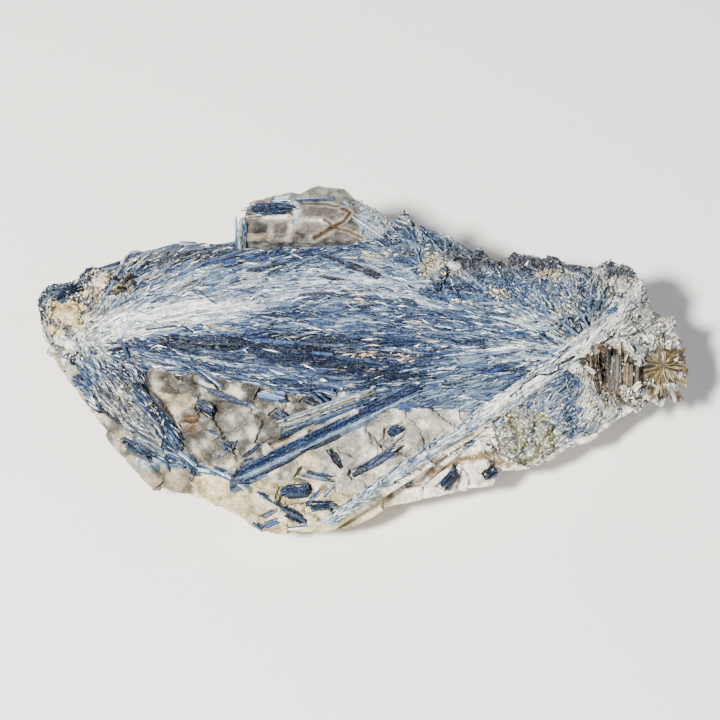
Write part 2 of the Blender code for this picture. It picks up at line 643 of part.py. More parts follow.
# The mica and the druse in their hollows.
mica = carved(copied(slab, "mica"), "INTERSECT", column(MICA, 17.0, 0.0))
plates = [{"start": p[0:3], "end": p[3:6], "width": p[6], "thick": p[7], "roll": p[8],
           "taper": 1.15, "slant": 0.2} for p in PLATES]
mica = carved(mica, "UNION", blades_object(plates), True)
druse = carved(copied(slab, "druse"), "INTERSECT", column(DRUSE, 14.0, 0.0))
for values in POINTS:
    druse = carved(druse, "UNION", point_crystal(*values))

# Clearances between the large pieces.
druse = carved(druse, "DIFFERENCE", blades_object(free_blades(), GAP), True)
mica = carved(mica, "DIFFERENCE", blades_object(free_blades(), GAP), True)
kyanite = carved(kyanite, "DIFFERENCE", column(MICA, 17.0, GAP))
kyanite = carved(kyanite, "DIFFERENCE", column(DRUSE, 14.0, GAP))
matrix = carved(slab, "DIFFERENCE", column(KYANITE, KYANITE_FLOOR, GAP))
matrix = carved(matrix, "DIFFERENCE", column(MICA, 17.0, GAP))
matrix = carved(matrix, "DIFFERENCE", column(DRUSE, 14.0, GAP))
matrix = carved(matrix, "DIFFERENCE", blades_object(free_blades(), GAP), True)
kyanite = carved(kyanite, "DIFFERENCE", blades_object(plates, GAP), True)
matrix = carved(matrix, "DIFFERENCE", blades_object(plates, GAP), True)
for clear in clearances:
    for large in (matrix, kyanite):
        carved(large, "DIFFERENCE", copied(clear, "clear"))
    bpy.data.objects.remove(clear)

finished(matrix, "quartz_matrix", QUARTZ)
finished(kyanite, "kyanite_spray", KYANITE_BLUE)
finished(block, "quartz_block", QUARTZ_CLEAR)
finished(mica, "mica_books", MICA_BROWN)
finished(druse, "quartz_druse", QUARTZ_DRUSE)

# The origin goes under the middle of the whole specimen.
corners = [v.co for piece in bpy.data.objects for v in piece.data.vertices]
middle = Vector([-(min(c[k] for c in corners) + max(c[k] for c in corners)) / 2 for k in range(2)])
for piece in bpy.data.objects:
    piece.data.transform(Matrix.Translation((*middle, 0.0)))
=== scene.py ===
"""The looks of the kyanite blade cluster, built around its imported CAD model."""

import math
import random

import bmesh
import bpy
from mathutils import Matrix, Vector, noise
from mathutils.bvhtree import BVHTree


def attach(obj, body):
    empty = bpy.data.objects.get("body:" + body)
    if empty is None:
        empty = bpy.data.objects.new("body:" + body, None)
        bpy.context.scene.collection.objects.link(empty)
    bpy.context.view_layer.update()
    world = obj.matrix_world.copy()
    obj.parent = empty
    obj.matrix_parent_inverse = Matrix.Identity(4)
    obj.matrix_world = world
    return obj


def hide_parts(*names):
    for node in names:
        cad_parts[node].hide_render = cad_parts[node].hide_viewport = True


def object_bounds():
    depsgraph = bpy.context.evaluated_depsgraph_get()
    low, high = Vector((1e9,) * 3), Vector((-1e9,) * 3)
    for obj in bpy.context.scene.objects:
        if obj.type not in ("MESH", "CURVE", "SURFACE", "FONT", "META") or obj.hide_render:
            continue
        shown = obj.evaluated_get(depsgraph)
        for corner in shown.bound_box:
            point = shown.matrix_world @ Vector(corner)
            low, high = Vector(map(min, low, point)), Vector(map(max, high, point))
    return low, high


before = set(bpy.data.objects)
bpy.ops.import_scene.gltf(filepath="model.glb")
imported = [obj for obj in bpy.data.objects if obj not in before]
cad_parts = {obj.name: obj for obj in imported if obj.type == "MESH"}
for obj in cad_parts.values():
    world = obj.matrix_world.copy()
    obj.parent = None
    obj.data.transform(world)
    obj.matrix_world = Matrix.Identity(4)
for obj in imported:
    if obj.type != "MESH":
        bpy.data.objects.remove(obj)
cad_low, cad_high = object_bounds()
noise.seed_set(4)  # else the time of day would move the grains of quartz

# ------------------------------------------------------------------ the quartz rock
# The rock that carries everything: milky to grey quartz in grains of 3 to 9 mm, broken with
# lumpy, conchoidal faces. The grain boundaries are creases, some of them stained with iron.
MM = 0.001
GRAIN = 9.0 * MM
GRAIN_SWELL = 0.5 * MM
GRAIN_TILT = 0.085
PIT = 0.16 * MM
STAIN_WIDTH = 0.5 * MM
SHOULDER = 21 * MM  # height of the front rim's shoulder, below which the rock is creamier
GREY_QUARTZ, SMOKY_QUARTZ, MILKY_QUARTZ, CREAM_QUARTZ = "#6c6860", "#3f3d39", "#aaa497", "#bfb08d"
# The crease colour is painted shade, laid on the creases between grains.
CREASE_SHADE = "#6b665e"
PINK_QUARTZ, STAIN, DARK_STAIN = "#ded2c2", "#6a4a1a", "#443c31"
# Where the rock is grey and glassy, and where it is cream or pinkish: x, y, radii, in mm.
GREY_PATCHES = ((-48, -5, 13, 7), (-30, -10, 17, 9), (-16, -15, 12, 8), (3, -26, 17, 7),
                (-44, -20, 6, 5), (-27, -24, 9, 4.5))
PINK_PATCHES = ((26, -32, 22, 9), (12, -36, 10, 6))
# Iron-stained cracks in the lower right, each a run of x, y in mm.
STAIN_RUNS = (
    ((16.9, -35.6), (22.3, -31.2), (26.7, -28.6), (31.3, -26.6)),
    ((19.6, -34.0), (28.0, -30.6), (36.4, -29.5), (44.9, -28.2), (46.7, -28.2)),
    ((13.2, -36.4), (16.9, -35.6)),
    ((37.7, -32.5), (39.5, -30.2)),
    ((28.8, -31.4), (28.4, -33.2), (27.5, -35.0)),
    ((33.0, -29.6), (38.0, -27.8), (42.0, -29.2)),
)
# Grey-blue glassy quartz in the left rim: x, y, radii in mm, tilt.
GLASS_SPOT = (-58.2, -26.8, 5.2, 2.2, -20)
# Dark spots on the rock: x, y, reach in mm, colour. Three are iron stains; the one at -47.6,
# -23.0 is plain dark grey.
STAIN_AND_GREY_SPOTS = ((-44.2, -22.2, 2.6, DARK_STAIN), (-47.6, -23.0, 2.3, "#3d3a35"),
               (-46.1, -19.7, 2.7, "#4f350f"), (-9.0, -37.8, 1.4, STAIN))


def shade(colour):
    """An sRGB hex colour as linear red, green, blue and alpha."""
    parts = [int(colour[i:i + 2], 16) / 255 for i in (1, 3, 5)]
    return (*[c / 12.92 if c <= 0.04045 else ((c + 0.055) / 1.055) ** 2.4 for c in parts], 1.0)


def mixed(one, two, share):
    """A colour between two, each given in sRGB hex or in linear parts."""
    one, two = (shade(c) if isinstance(c, str) else c for c in (one, two))
    share = min(1.0, max(0.0, share))
    return tuple(a + (b - a) * share for a, b in zip(one, two))


def node(material, kind, settings=None, **inputs):
    """Adds a shader node. Inputs are values, or sockets to link; _1 names the second input."""
    made = material.node_tree.nodes.new("ShaderNode" + kind)
    for name, value in (settings or {}).items():
        setattr(made, name, value)
    for name, value in inputs.items():
        key = int(name[1:]) if name[0] == "_" else name.replace("_", " ")
        if isinstance(value, bpy.types.NodeSocket):
            material.node_tree.links.new(value, made.inputs[key])
        else:
            made.inputs[key].default_value = value
    return made


def new_material(name, **inputs):
    """A material and its Principled shader, with the inputs set."""
    made = bpy.data.materials.new(name)
    made.use_nodes = True
    shader = made.node_tree.nodes["Principled BSDF"]
    for key, value in inputs.items():
        shader.inputs[key.replace("_", " ")].default_value = value
    return made, shader


def link(material, socket, shader, name):
    material.node_tree.links.new(socket, shader.inputs[name])


def piece(name, bm, material, slot, *replaced):
    """A finished piece of the specimen from a bmesh, kept inside the CAD's box."""
    for v in bm.verts:
        for k in range(3):
            v.co[k] = min(cad_high[k], max(cad_low[k], v.co[k]))
    mesh = bpy.data.meshes.new(name)
    bm.to_mesh(mesh)
    bm.free()
    made = bpy.data.objects.new(name, mesh)
    bpy.context.scene.collection.objects.link(made)
    mesh.materials.append(material)
    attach(made, "root")
    if replaced:
        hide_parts(*replaced)


def cad_copy(*names):
    """The CAD nodes' meshes as one welded bmesh."""
    bm = bmesh.new()
    for name in names:
        bm.from_mesh(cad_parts[name].data)
    bmesh.ops.remove_doubles(bm, verts=bm.verts, dist=1e-6)
    return bm


def refined(bm, longest):
    """Cuts every edge that is longer than longest(middle), until none is left."""
    for _ in range(8):
        long = [e for e in bm.edges
                if e.calc_length() > longest((e.verts[0].co + e.verts[1].co) / 2)]
        if not long:
            break
        bmesh.ops.subdivide_edges(bm, edges=long, cuts=1)
        bmesh.ops.triangulate(bm, faces=[f for f in bm.faces if len(f.verts) > 3])
    bm.normal_update()
    return bm


def tree_of(*names):
    bm = cad_copy(*names)
    tree = BVHTree.FromBMesh(bm)
    bm.free()
    return tree


def in_ellipse(x, y, cx, cy, rx, ry, tilt=0):
    """How far inside a tilted ellipse a place is: 1 at its middle, 0 at its edge."""
    turn = math.radians(tilt)
    dx, dy = x - cx, y - cy
    u = dx * math.cos(turn) + dy * math.sin(turn)
    v = dy * math.cos(turn) - dx * math.sin(turn)
    return 1 - math.hypot(u / rx, v / ry)


def in_any(ellipses, x, y):
    """How far inside the nearest of several ellipses a place is."""
    return max(in_ellipse(x, y, *ellipse) for ellipse in ellipses)


def from_run(run, x, y):
    """Distance in mm from a line of x, y points."""
    best = 1e9
    for (ax, ay), (bx, by) in zip(run, run[1:]):
        dx, dy = bx - ax, by - ay
        t = min(1.0, max(0.0, ((x - ax) * dx + (y - ay) * dy) / (dx * dx + dy * dy)))
        best = min(best, math.hypot(x - ax - t * dx, y - ay - t * dy))
    return best


def cloudy(place, size, octaves):
    """Cloudy noise about 0, with lumps of a size in mm."""
    return noise.fractal(place / (size * MM), 1.0, 2.0, octaves)


def wavy(place, size):
    """Smooth noise about 0, with waves of a size in mm."""
    return noise.noise(place / (size * MM))


def grain_at(place):
    """The quartz grain at a place: (how far from its boundary, 0 to 1, its centre, its luck)."""
    warped = place / GRAIN + 0.35 * noise.noise_vector(place / (GRAIN * 0.9))
    gaps, centres = noise.voronoi(warped)
    luck = noise.cell_vector(centres[0] * 7.31 + Vector((3.1, 1.7, 9.2)))
    return min(1.0, (gaps[1] - gaps[0]) / 0.35), centres[0] * GRAIN, luck


def quartz_colour(place, normal):
    """Colour of the rock at a place, grain by grain."""
    x, y = place.x / MM, place.y / MM
    inner, centre, luck = grain_at(place)
    grey = in_any(GREY_PATCHES, x, y)
    pink = in_any(PINK_PATCHES, x, y)
    one = mixed(MILKY_QUARTZ, CREAM_QUARTZ, 0.5 + luck.x)
    if grey > 0 and luck.y > 0.15 - grey:
        one = mixed(GREY_QUARTZ, SMOKY_QUARTZ, 0.35 + luck.z)
    elif pink > 0 and luck.y > -0.3:
        one = mixed(PINK_QUARTZ, CREAM_QUARTZ, 0.4 + luck.z)
    elif luck.y > 0.33:
        one = shade(GREY_QUARTZ)
    # Painted shade: darker in the creases along the grain boundaries.
    one = mixed(one, CREASE_SHADE, 0.5 * (1 - inner) ** 4)
    cloud = cloudy(place, 4.5, 4)
    one = mixed(one, "#fbf7ea", 0.95 * max(0.0, cloud))
    one = mixed(one, "#45423c", 0.95 * max(0.0, -cloud))
    if place.z < SHOULDER and y < -18:
        one = mixed(one, "#ece0c2", 0.3 + 0.8 * cloud)
    # Painted light: toward the lower right the quartz is mixed almost to white, its own pale
    # colour lightened further for faces that turn from the key light.
    pale_and_lit = min(1.0, max(0.0, (-25.5 - y + 0.5 * (x - 24) + 6 * cloud) / 5))
    if x > 8 and pale_and_lit > 0:
        one = mixed(one, "#fdf8ec", (0.86 + 0.4 * cloud) * pale_and_lit * min(1, (x - 8) / 6))
    elif x > -12 and y > -38:
        one = mixed(one, "#d9d6cf", 0.30)
    # Painted shade: the rock left of x = -12 that lies under the spray's edge is darkened, as is
    # all of it left of x = -46, and the left rim below y = -22 more so.
    elif y > -30 or x < -46:
        one = mixed(one, "#2b2a28", 0.62 if x < -46 and y < -22 else 0.26)
    elif place.z < SHOULDER:
        one = mixed(one, "#d4c798", 0.46)
    speck = cloudy(place, 0.9, 2)
    one = mixed(one, "#8d8a80", 0.5 * max(0.0, speck - 0.05))
    if normal.z > -0.2:
        wander = 0.4 * wavy(place, 3) + 0.3 * wavy(place, 0.8)
        line = min(from_run(run, x + wander, y + wander) for run in STAIN_RUNS)
        one = mixed(one, STAIN, 0.9 * math.exp(-(line * MM / STAIN_WIDTH) ** 4))
        glass = in_ellipse(x + wander, y - wander, *GLASS_SPOT)
        if glass > 0:
            tint = mixed("#2c3b4a", "#a6b5bd", 0.45 + 1.3 * cloud)
            one = mixed(one, tint, 3 * glass)
        for sx, sy, reach, colour in STAIN_AND_GREY_SPOTS:
            spot = 1 - math.hypot(x - sx + 2 * wander, y - sy - 2 * wander) / reach
            one = mixed(one, colour, min(0.86, 2.6 * spot))
    return one


def lumpy(bm, keep_clear):
    """Turns broken facets into quartz grains. What faces another mineral stays put."""
    for v in bm.verts:
        inner, centre, luck = grain_at(v.co)
        height = GRAIN_SWELL * (math.sin(inner * math.pi / 2) - 0.75)
        height += GRAIN_TILT * (v.co - centre).dot(luck * 2)
        height += PIT * cloudy(v.co, 1.1, 2)
        near = keep_clear.find_nearest(v.co, 1.2 * MM)[3]
        free = 1.0 if near is None else max(0.0, (near - 0.45 * MM) / (0.75 * MM))
        if v.co.z >= 1.5 * MM:
            v.co += v.normal * min(0.6 * MM, height) * free


def coloured(bm, colour):
    """Stores colour(place, normal) on every corner."""
    bm.normal_update()
    store = bm.loops.layers.float_color.new("colour")
    for v in bm.verts:
        value = colour(v.co, v.normal)
        for loop in v.link_loops:
            loop[store] = value


def quartz_material(name, roughness, shine):
    """Massive quartz: translucent, with a greasy shine and fine white fractures."""
    made, shader = new_material(
        name, Roughness=roughness, IOR=1.54, Specular_IOR_Level=shine, Coat_Weight=0.04,
        Coat_Roughness=0.2, Subsurface_Weight=0.15, Subsurface_Scale=1.0 * MM,
        Subsurface_Radius=(1.0, 0.9, 0.8))
    painted = node(made, "VertexColor", {"layer_name": "colour"}).outputs["Color"]
    place = node(made, "TexCoord").outputs["Object"]
    cloud = node(made, "TexNoise", Vector=place, Scale=1 / (2.2 * MM), Detail=5.0,
                 Roughness=0.6).outputs["Fac"]
    clouded = node(made, "MapRange", Value=cloud, From_Min=0.3, From_Max=0.7, To_Min=0.55,
                   To_Max=1.2).outputs[0]
    sugar = node(made, "TexNoise", Vector=place, Scale=1 / (0.7 * MM), Detail=4.0,
                 Roughness=0.65).outputs["Fac"]
    sugary = node(made, "MapRange", Value=sugar, From_Min=0.34, From_Max=0.64, To_Min=0.66,
                  To_Max=1.22).outputs[0]
    cracks = node(made, "TexVoronoi", {"feature": "DISTANCE_TO_EDGE"}, Vector=place,
                  Scale=1 / (1.7 * MM)).outputs["Distance"]
    cracked = node(made, "MapRange", Value=cracks, From_Max=0.035, To_Min=0.35).outputs[0]
    tone = node(made, "Math", {"operation": "MULTIPLY"}, _0=clouded, _1=sugary).outputs[0]
    both = node(made, "Math", {"operation": "MULTIPLY"}, _0=tone, _1=cracked).outputs[0]
    soft = node(made, "Mix", {"data_type": "FLOAT"}, _0=0.18, _2=tone, _3=both).outputs[0]
    toned = node(made, "VectorMath", {"operation": "SCALE"}, _0=painted, _3=soft).outputs[0]
    link(made, toned, shader, "Base Color")
    uneven = node(made, "Math", {"operation": "ADD"}, _0=cloud, _1=sugar).outputs[0]
    bump = node(made, "Bump", Strength=0.5, Distance=0.45 * MM, Height=uneven).outputs[0]
    link(made, bump, shader, "Normal")
    return made


def quartz_fineness(place):
    """Longest edge in the refined rock: fine where it shows, coarse beneath."""
    x, y = place.x / MM, place.y / MM
    if place.z < 6 * MM or y > 0:
        return 3.2 * MM
    if x > 14 and place.z > 12 * MM:
        return 0.55 * MM
    return 0.95 * MM if place.z > 9 * MM else 2.4 * MM


rock = refined(cad_copy("quartz_matrix"), quartz_fineness)
lumpy(rock, tree_of("kyanite_spray", "mica_books", "quartz_druse", "quartz_block"))
coloured(rock, quartz_colour)
ROCK_QUARTZ = quartz_material("massive milky quartz", 0.42, 0.18)
piece("quartz_rock", rock, ROCK_QUARTZ, "quartz_cream", "quartz_matrix")

# ------------------------------------------------------------------ the kyanite spray
# Thousands of flat, brittle kyanite blades, 1 to 30 mm long and 0.1 to 1.1 mm wide, grown out
# of two points and lying over one another like thatch. Pale near the points, deep blue where
# the two fans meet. All coordinates of places are x, y in mm in the specimen's frame.
LEFT_FOCUS = Vector((-79.0, 5.5))
RIGHT_FOCUS = Vector((64.6, -2.4))
MEETING, MEETING_WIDTH = -5.0, 16.0
RIDGE_RUN = ((79.6, 19.1), (64.1, -1.4), (49.6, -12.4), (33.1, -23.8), (16.6, -33.7),
             (3.3, -40.9), (-8.4, -47.0))
# Left of this line the blades of the left flank run down along the specimen's edge.
FLANK_EDGE, FLANK_WAY = (-76.0, 7.0), Vector((0.72, -0.69))
# The four sizes of blade: how many, narrowest and widest in mm, share of the full length, and
# how far they stray in degrees.
BLADE_SIZES = ((3600, 0.4, 1.15, 1.0, 1), (8500, 0.24, 0.5, 0.75, 3),
               (20000, 0.15, 0.32, 0.32, 8), (20000, 0.13, 0.28, 0.2, 14))
SEATS = 120000  # random places on the spray, from which the blades take theirs
# From white at the growing points to nearly black indigo.
BLUES = ["#f7f8f5", "#dae4e9", "#b4c3cc", "#8a9fb3", "#607c9a", "#3f5b82", "#243f6b",
         "#122850", "#081630"]
CREAMS = ["#f1ead6", "#ddd3b0", "#c4b58c", "#a5937a", "#ece2cc"]
MOTTLES = ["#fbfaf2", "#e9dcba", "#a9c0d4", "#7396b8", "#c8d6de", "#8f8a7a", "#5d7d9f"]
# Changes of depth over the spray: x, y, radii in mm, tilt in degrees, change of tone.
TONES = (
    (-68, 7.5, 16, 11.5, 0, -0.45), (-50, 11.0, 26, 6.0, 2, -0.27), (-34, 13, 26, 4.5, 5, -0.26),
    (-10, -2.6, 48, 7.0, -5, 0.36), (-33, 7.0, 14, 3.2, 0, -0.12),
    (-3, -7, 30, 5.0, -12, 0.30), (20, 5, 36, 5.5, -6, 0.14),
    (-18, 9, 22, 3.0, 0, 0.16), (-48, 0.5, 24, 2.4, -5, 0.30), (-38, 30, 24, 4, 3, 0.14),
    (-4, 31, 26, 4, 3, 0.14), (8, 20, 20, 6, 0, -0.18), (28, -7, 14, 3, 14, -0.26),
    (63, -2, 10, 6, 20, -0.34), (45, -13, 14, 4, 36, -0.28), (12, 13, 24, 3, 0, -0.05),
    (-22, 20, 22, 5, 0, -0.14), (60, 16, 22, 9, 0, -0.12), (50, 27, 32, 4, 0, 0.05),
    (-66, -12, 8, 10, -45, -0.06), (85, 14, 10, 9, 0, -0.40), (70, -13, 12, 6, 20, -0.36),
    (-82, 10, 10, 12, 0, -0.30), (58, -19, 16, 6, 25, -0.20), (48, -3, 14, 4, 12, -0.12),
    (44, -20, 14, 6, 20, -0.14), (-56, -1.2, 16, 1.6, 0, 0.18), (38, 7.6, 9, 1.4, 0, 0.22),
    (43, 1.9, 6, 1.2, 0, 0.26), (37, -8.6, 6, 1.3, 18, 0.26), (44, 3, 18, 9, 0, -0.24),
    (-12, -12.8, 17, 3.4, -16, 0.26),
    (-38, -7, 14, 2.6, -10, 0.16), (-50, 20, 24, 7, 4, -0.14), (-4, 18, 20, 4, 0, -0.08),
    (74, 6, 10, 6, 0, -0.40), (56, -19.5, 5, 3, 0, 0.14), (60, -20, 7, 5, 20, 0.20),
    (27, -21.5, 11, 4.5, 32, -0.16),
)
# Streaks and patches of cream feldspar among the blades: x, y, radii in mm, tilt.
CREAM_STREAKS = (
    (-34.5, 23.0, 6.0, 1.5, 16), (-28, 18.5, 4.5, 0.9, 0), (-36.5, 4.9, 8.0, 1.1, -6),
    (-57.7, 25.4, 4.5, 1.2, 45),
    (2.5, 11.5, 10.0, 0.9, 2), (0.5, -4.2, 7.5, 1.6, -10), (13, -4.6, 5.5, 2.4, 8),
    (34, 5.8, 3.2, 2.4, 0), (21, 24.0, 4.0, 6.5, 0), (39, 15.8, 4.0, 2.2, -20),
    (55, 21.5, 5.0, 2.6, 0), (-86, 15, 7.5, 9.5, 0), (-70, 21, 8.0, 5.5, 0),
    (6, 27.0, 9.0, 2.0, 4), (-40, 26.5, 5.0, 1.5, 10), (30, 12.5, 6.0, 1.5, -12),
    (-64, -14, 4.0, 6.0, 40), (58, 10, 5.0, 2.5, 0), (-15, 25.5, 6.0, 1.4, 8),
)
# Where the kyanite is weathered to grey: x, y, radii in mm, tilt.
GREY_ZONES = (
    (52, 27, 38, 8, -4), (86, 14, 10, 12, 0), (70, -14, 12, 6, 20), (-80, 18, 14, 14, 0),
    (-66, -16, 10, 14, 40), (72, 20, 12, 8, 0), (30, 26, 14, 6, 0), (-50, 30, 26, 3, 5),
    (12, 40, 14, 6, 0), (45, -28, 12, 6, 20), (74, 6, 11, 7, 0),
)
# Where the blades lie every way: x, y, radii in mm, tilt.
TANGLE = (46, 24, 42, 17, -6)
SMALL_TANGLE = (56, -18, 18, 8, 24)
# Where long single blades lie on top, as runs of x, y in mm.
OPEN_RUNS = (((-34.8, -36.0), (12.0, -17.0)), ((-21.2, -23.5), (3.0, -17.0)),
             ((-62.4, -12.9), (-48.4, -25.6), (-44.4, -31.6)))
# Where lumps of other minerals show between the blades: x, y, radii in mm.
BARE_SPOTS = ((-67.5, 21.8, 4.4, 3.2), (-73.8, 24.2, 3.2, 2.6), (-83.0, 15.8, 4.6, 4.2),
              (-84.6, 8.8, 3.2, 3.0), (-83.0, 22.0, 5.0, 1.6))
# Where cream quartz shows through the flank: x, y, radii in mm, tilt.
CREAM_SPOTS = ((-57.4, -23.6, 3.4, 1.4, -42), (-54.6, -26.6, 2.2, 1.4, -42))
SPRAY_TREE = tree_of("kyanite_spray")
MICA_NODE_TREE = tree_of("mica_books")
rng = random.Random(4)


def is_loose(x, y):
    """Whether a place is in the parts where the blades lie every way."""
    return in_ellipse(x, y, *TANGLE) > 0.1 or in_ellipse(x, y, *SMALL_TANGLE) > 0


def share_of_right(x):
    """How much of the kyanite at x grows from the right point, 0 to 1."""
    return min(1.0, max(0.0, (x - MEETING) / MEETING_WIDTH + 0.5))


def toward(x, y):
    """The way the blades grow at a place, as a unit x, y vector, with some luck in it."""
    for (ax, ay), (bx, by) in zip(RIDGE_RUN, RIDGE_RUN[1:]):
        if from_run(((ax, ay), (bx, by)), x, y) < ridge_reach(x):
            return turned(Vector((ax - bx, ay - by)), rng.gauss(0, 3))
    from_left = Vector((x, y)) - LEFT_FOCUS
    from_left.y *= 1 - 0.55 * min(1.0, from_left.length / 60)
    to_right = RIGHT_FOCUS - Vector((x, y))
    if to_right.y < 0:
        to_right.y *= 1 - 0.35 * min(1.0, to_right.length / 60)
    if y < min(2.0, FLANK_EDGE[1] - 0.97 * (x - FLANK_EDGE[0])):
        return turned(FLANK_WAY, rng.gauss(0, 8))
    way = to_right if rng.random() < share_of_right(x) else from_left
    stray = 5.0
    loose = in_ellipse(x, y, *TANGLE)
    if loose > 0:
        stray = 8 + 45 * min(1.0, 1.6 * loose)
        way = turned(way, 70 * noise.noise(Vector((x / 9, y / 9, 3.3))) * min(1, 2 * loose))
    if from_left.length < 16 or to_right.length < 7:
        stray = 24
    if in_ellipse(x, y, *SMALL_TANGLE) > 0:
        stray = 32
    if x < -78:
        stray = 40
    return turned(way, rng.gauss(0, stray))


def ridge_reach(x):
    """Half the width of the pale ridge in mm: narrow at its lower end, wide near the point."""
    return 1.7 + 1.8 * min(1.0, max(0.0, (x + 5) / 55))


def turned(way, degrees):
    turn = math.radians(degrees)
    way = way.normalized()
    return Vector((way.x * math.cos(turn) - way.y * math.sin(turn),
                   way.x * math.sin(turn) + way.y * math.cos(turn)))


def depth_of_blue(x, y):
    """0 where the kyanite is white, 1 where it is darkest."""
    tone = 0.645
    for cx, cy, rx, ry, tilt, change in TONES:
        inside = in_ellipse(x, y, cx, cy, rx, ry, tilt)
        if inside > 0:
            tone += change * min(1.0, 1.8 * inside)
    near_ridge = from_run(RIDGE_RUN, x, y)
    tone -= 0.30 * math.exp(-(near_ridge / 2.2) ** 2)
    patch = 0.22 if is_loose(x, y) else 0.07
    return tone + 0.24 * seam(x, y) + patch * noise.noise(Vector((x / 4, y / 3, 0)))


def seam(x, y):
    """Darker and paler sheaves of blades, which run out from the growing points."""
    late = share_of_right(x)
    total = 0.0
    for focus, share in ((LEFT_FOCUS, 1 - late), (RIGHT_FOCUS, late)):
        bearing = math.atan2(y - focus.y, x - focus.x) % (2 * math.pi)
        reach = math.hypot(x - focus.x, y - focus.y)
        wide = noise.noise(Vector((bearing / 0.05, reach / 22, focus.x)))
        total += share * (wide + 0.7 * noise.noise(Vector((bearing / 0.016, reach / 11, 5.0))))
    return total


def kyanite_colour(x, y, luck, spread=0.17):
    """Colour of one blade; luck is a normal random number."""
    tone = min(0.999, max(0.0, depth_of_blue(x, y) + spread * luck)) * (len(BLUES) - 1)
    step = int(tone)
    blue = mixed(BLUES[step], BLUES[step + 1], tone - step)
    grey = 0.21 + max(0.0, 1.3 * in_any(GREY_ZONES, x, y))
    plain = 0.25 * blue[0] + 0.55 * blue[1] + 0.2 * blue[2]
    return mixed(blue, (plain, plain, plain * 0.9, 1.0), 0.7 * min(1.0, grey))


def cream_share(x, y):
    """How likely a small blade at a place is cream feldspar instead of kyanite."""
    return 0.03 + 1.1 * max(0.0, in_any(CREAM_STREAKS, x, y))


def square_to(axis, way):
    """What is left of a direction when its part along an axis is taken off."""
    return way - axis * way.dot(axis)


def between(low, high):
    """A random length, from limits in mm."""
    return rng.uniform(low, high) * MM


def one_of(colours):
    return shade(rng.choice(colours))


def seated(tree, place, reach=6 * MM):
    """(nearest place on the tree's surface, its normal), or None if it is out of reach."""
    hit = tree.find_nearest(place, reach)
    return (hit[0], hit[1]) if hit[0] is not None else None


class Blades:
    """A growing mesh of blades, each with its colour and with the grain along it."""

    def __init__(self):
        self.bm = bmesh.new()
        self.colour = self.bm.loops.layers.float_color.new("colour")
        self.grain = self.bm.loops.layers.uv.new("grain")

    def add(self, places, ups, width, thick, colour, roll=0.0, taper=0.6, crest=0.0,
            pointed=False):
        """One blade through the places, flat against the ups, with bevelled edges.

        A pointed one is a three-sided splinter with a point at either end.
        """
        offset = rng.uniform(0, 90)
        lengths = [0.0]
        for a, b in zip(places, places[1:]):
            lengths.append(lengths[-1] + (b - a).length / MM)
        section = ((-0.5, -1.0), (-0.5, -0.15), (-0.34 + crest, 0.0), (0.36 + crest, 0.0),
                   (0.5, -0.2), (0.5, -1.0))
        if width < 0.85 * MM:
            section = ((-0.5, -1.0), (-0.4, 0.0), (0.4, -0.1), (0.5, -1.0))
        if pointed:
            section = ((-0.5, -1.0), (crest, 0.0), (0.5, -1.0))
        rings = []
        for n, (place, up) in enumerate(zip(places, ups)):
            before, after = places[max(0, n - 1)], places[min(len(places) - 1, n + 1)]
            along = (after - before).normalized()
            up = square_to(along, up).normalized()
            up = Matrix.Rotation(roll, 3, along) @ up
            side = along.cross(up)
            end = n in (0, len(places) - 1)
            size = taper if end else 1.0
            if end and pointed:
                rings.append([self.bm.verts.new(place - up * thick * 0.5)])
                continue
            lean = along * width * (0.5 if n else -0.5) if end else Vector()
            rings.append([self.bm.verts.new(place + side * width * s * size + up * thick * u
                                            + lean * s) for s, u in section])
        for n, (one, two) in enumerate(zip(rings, rings[1:])):
            for k in range(len(section)):
                j = (k + 1) % len(section)
                corners = [(one[k % len(one)], (lengths[n], k)),
                           (one[j % len(one)], (lengths[n], k + 1)),
                           (two[j % len(two)], (lengths[n + 1], k + 1)),
                           (two[k % len(two)], (lengths[n + 1], k))]
                if len(one) == 1:
                    del corners[1]
                if len(two) == 1:
                    del corners[2]
                self.face(*zip(*corners), colour, offset, width)
        if pointed:
            return
        # The end faces are painted darker than the blade: painted shade at its ends.
        dark = mixed(colour, (0.02, 0.03, 0.05, 1), 0.45)
        for ring, length in ((rings[0][::-1], 0.0), (rings[-1], lengths[-1])):
            self.face(ring, [(length, k) for k in range(len(ring))], dark, offset, width)

    def face(self, verts, places, colour, offset, width):
        face = self.bm.faces.new(verts)
        for loop, (along, k) in zip(face.loops, places):
            loop[self.colour] = colour
            loop[self.grain].uv = (along / 10 + offset, k * width / MM / 40 + offset)


def grow_blade(blades, tree, centre, way, length, width, thick, colour, lift, keep_clear=None,
               pointed=True):
    """Lays one blade on the surface about a centre. Returns False if there is no room."""
    here = seated(tree, centre)
    if here is None:
        return False
    way = square_to(here[1], way)
    if way.length < 0.6:
        return False
    way.normalize()
    places, ups = [], []
    for share in (-0.5, 0.0, 0.5) if length < 11 * MM else (-0.5, -0.17, 0.17, 0.5):
        aim = here[0] + way * length * share
        found = seated(tree, aim, 3.5 * MM)
        if found is None or found[1].dot(here[1]) < -0.2:
            return False
        if keep_clear is not None and keep_clear.find_nearest(found[0], 0.2 * MM)[0] is not None:
            return False
        sunk = 0.5 if abs(share) < 0.5 else 0.85
        places.append(aim + (found[0] - aim) * sunk + found[1] * lift)
        ups.append(here[1] * 0.6 + found[1] * 0.4)
    blades.add(places, ups, width, thick, colour, rng.gauss(0, 0.22), rng.uniform(0.35, 0.9),
               rng.uniform(-0.1, 0.1) if not pointed else rng.uniform(-0.35, 0.35), pointed)
    return True


def surface_samples(bm, count):
    """Random places on a mesh, as many to each square millimetre: (place, normal)."""
    faces = list(bm.faces)
    areas = [f.calc_area() for f in faces]
    for face in rng.choices(faces, areas, k=count):
        a, b, c = (v.co for v in face.verts[:3])
        u, v = rng.random(), rng.random()
        if u + v > 1:
            u, v = 1 - u, 1 - v
        yield a + (b - a) * u + (c - a) * v, face.normal.copy()


